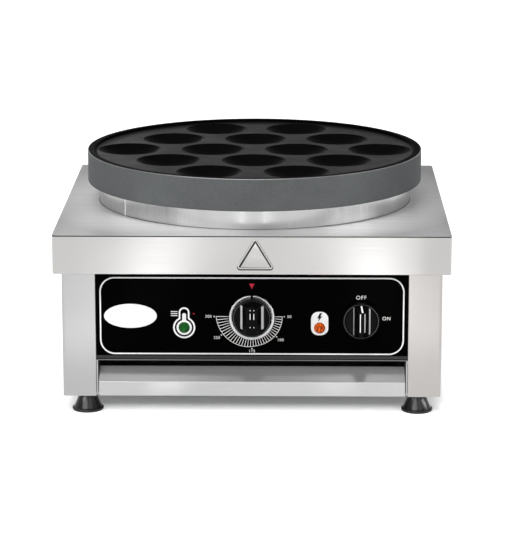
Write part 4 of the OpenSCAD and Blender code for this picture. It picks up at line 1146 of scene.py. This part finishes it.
shown = maths(floor_tree, "MULTIPLY_ADD", rays["Is Camera Ray"], seen_glow, mirrored)
glow_level = maths(floor_tree, "MULTIPLY", shown, open_floor)
glow = add(floor_tree, "ShaderNodeEmission", {"Strength": glow_level})
both = add(floor_tree, "ShaderNodeAddShader", {0: paper.outputs[0], 1: glow.outputs[0]})
add(floor_tree, "ShaderNodeOutputMaterial", {"Surface": both.outputs[0]})
floor_mesh.materials.append(floor_paint)

# The room is white at the horizon and greyer overhead
overhead = 0.32
horizon_end = 0.12
overhead_start = 0.5
world = bpy.data.worlds.new("studio")
scene.world = world
world.use_nodes = True
sky = world.node_tree
sky.nodes.clear()
direction = add(sky, "ShaderNodeTexCoord").outputs["Generated"]
rise = add(sky, "ShaderNodeSeparateXYZ", {"Vector": direction}).outputs["Z"]
sky_level = spread(sky, rise, 1.0, overhead, horizon_end, overhead_start)
room = add(sky, "ShaderNodeBackground", {"Strength": sky_level})
add(sky, "ShaderNodeOutputWorld", {"Surface": room.outputs[0]})


def aimed(name, kind, place, aim, level):
    """A new light at a place, turned to a point."""
    light = bpy.data.lights.new(name, kind)
    light.energy = level
    made = bpy.data.objects.new(name, light)
    made.location = place
    made.rotation_euler = (Vector(aim) - Vector(place)).to_track_quat("-Z", "Y").to_euler()
    scene.collection.objects.link(made)
    return made


def soft_sun(name, place, level):
    """A wide soft light that falls evenly from a direction."""
    made = aimed(name, "SUN", place, (0, 0, 0), level)
    made.data.angle = math.radians(40)


def strip(name, place, aim, width, length, level):
    """A flat light that shows in gloss alone, for the soft bands on sheet metal."""
    made = aimed(name, "AREA", place, aim, level * math.pi * width * length)
    made.data.shape = "RECTANGLE"
    made.data.size = width
    made.data.size_y = length
    made.visible_camera = False
    made.visible_diffuse = False


def floor_strip(name, x, y, width, length, level):
    """A strip just above the floor that shines straight up."""
    strip(name, (x, y, 0.004), (x, y, 1.0), width, length, level)


def pool(name, place, aim, width, level):
    """A soft pool of light, as wide as an angle in degrees, that shows in no gloss."""
    made = aimed(name, "SPOT", place, aim, level)
    made.data.spot_size = math.radians(width)
    made.data.spot_blend = 1.0
    made.data.shadow_soft_size = 0.08
    made.visible_glossy = False


soft_sun("key_light", (-1.0, -2.3, 1.5), 1.4)
soft_sun("side_light", (1.2, -2.3, 1.5), 0.4)
soft_sun("top_light", (-0.4, 0.2, 3.0), 0.7)
for x, level in ((-0.15, 1.6), (0.16, 2.0)):
    floor_strip("front_strip", x, -1.0, 0.07, 0.7, level)
for x in (-0.21, 0.21):
    floor_strip("post_strip", x, -0.56, 0.10, 0.16, 0.5)
for x in (-0.22, 0.17):
    strip("over_strip", (x, -0.9, 2.4), (x, -0.2, 0.1), 0.10, 1.6, 2.0)
panel_reach = 1.2
panel_z = 0.30
panel_h = 0.12
collar_middle = (0, 0, 0.23)
for side, width, level in ((-111.0, 0.34, 2.2), (-44.0, 0.38, 8.6), (70.0, 0.76, 11.2)):
    turn = math.radians(side)
    panel_place = (panel_reach * math.sin(turn), -panel_reach * math.cos(turn), panel_z)
    strip("collar_panel", panel_place, collar_middle, width, panel_h, level)
for x, level in ((-0.155, 112.0), (0.152, 105.0)):
    pool("deck_pool", (x, -0.6, 1.2), (x, -0.20, 0.214), 7.0, level)
for x, level in ((-0.104, 0.5), (0.10, 0.3)):
    floor_strip("tray_strip", x, -0.34, 0.04, 0.12, level)
strip("back_strip", (-0.65, 3.0, 0.5), (0, 0, 0.27), 0.6, 0.5, 2.0)

picture_h = 550
focal_pixels = 2480.17
camera_tilt = 0.2345
camera_turn = 0.0139
camera_data = bpy.data.cameras.new("camera")
camera_data.sensor_width = 36.0
camera_data.lens = focal_pixels * camera_data.sensor_width / picture_h
camera_data.clip_end = 100.0
camera = bpy.data.objects.new("camera", camera_data)
camera.location = (0.04549, -2.92629, 0.81767)
camera.rotation_euler = Euler((math.pi / 2 - camera_tilt, 0.0, camera_turn))
scene.collection.objects.link(camera)
scene.camera = camera
scene.view_settings.view_transform = "Standard"
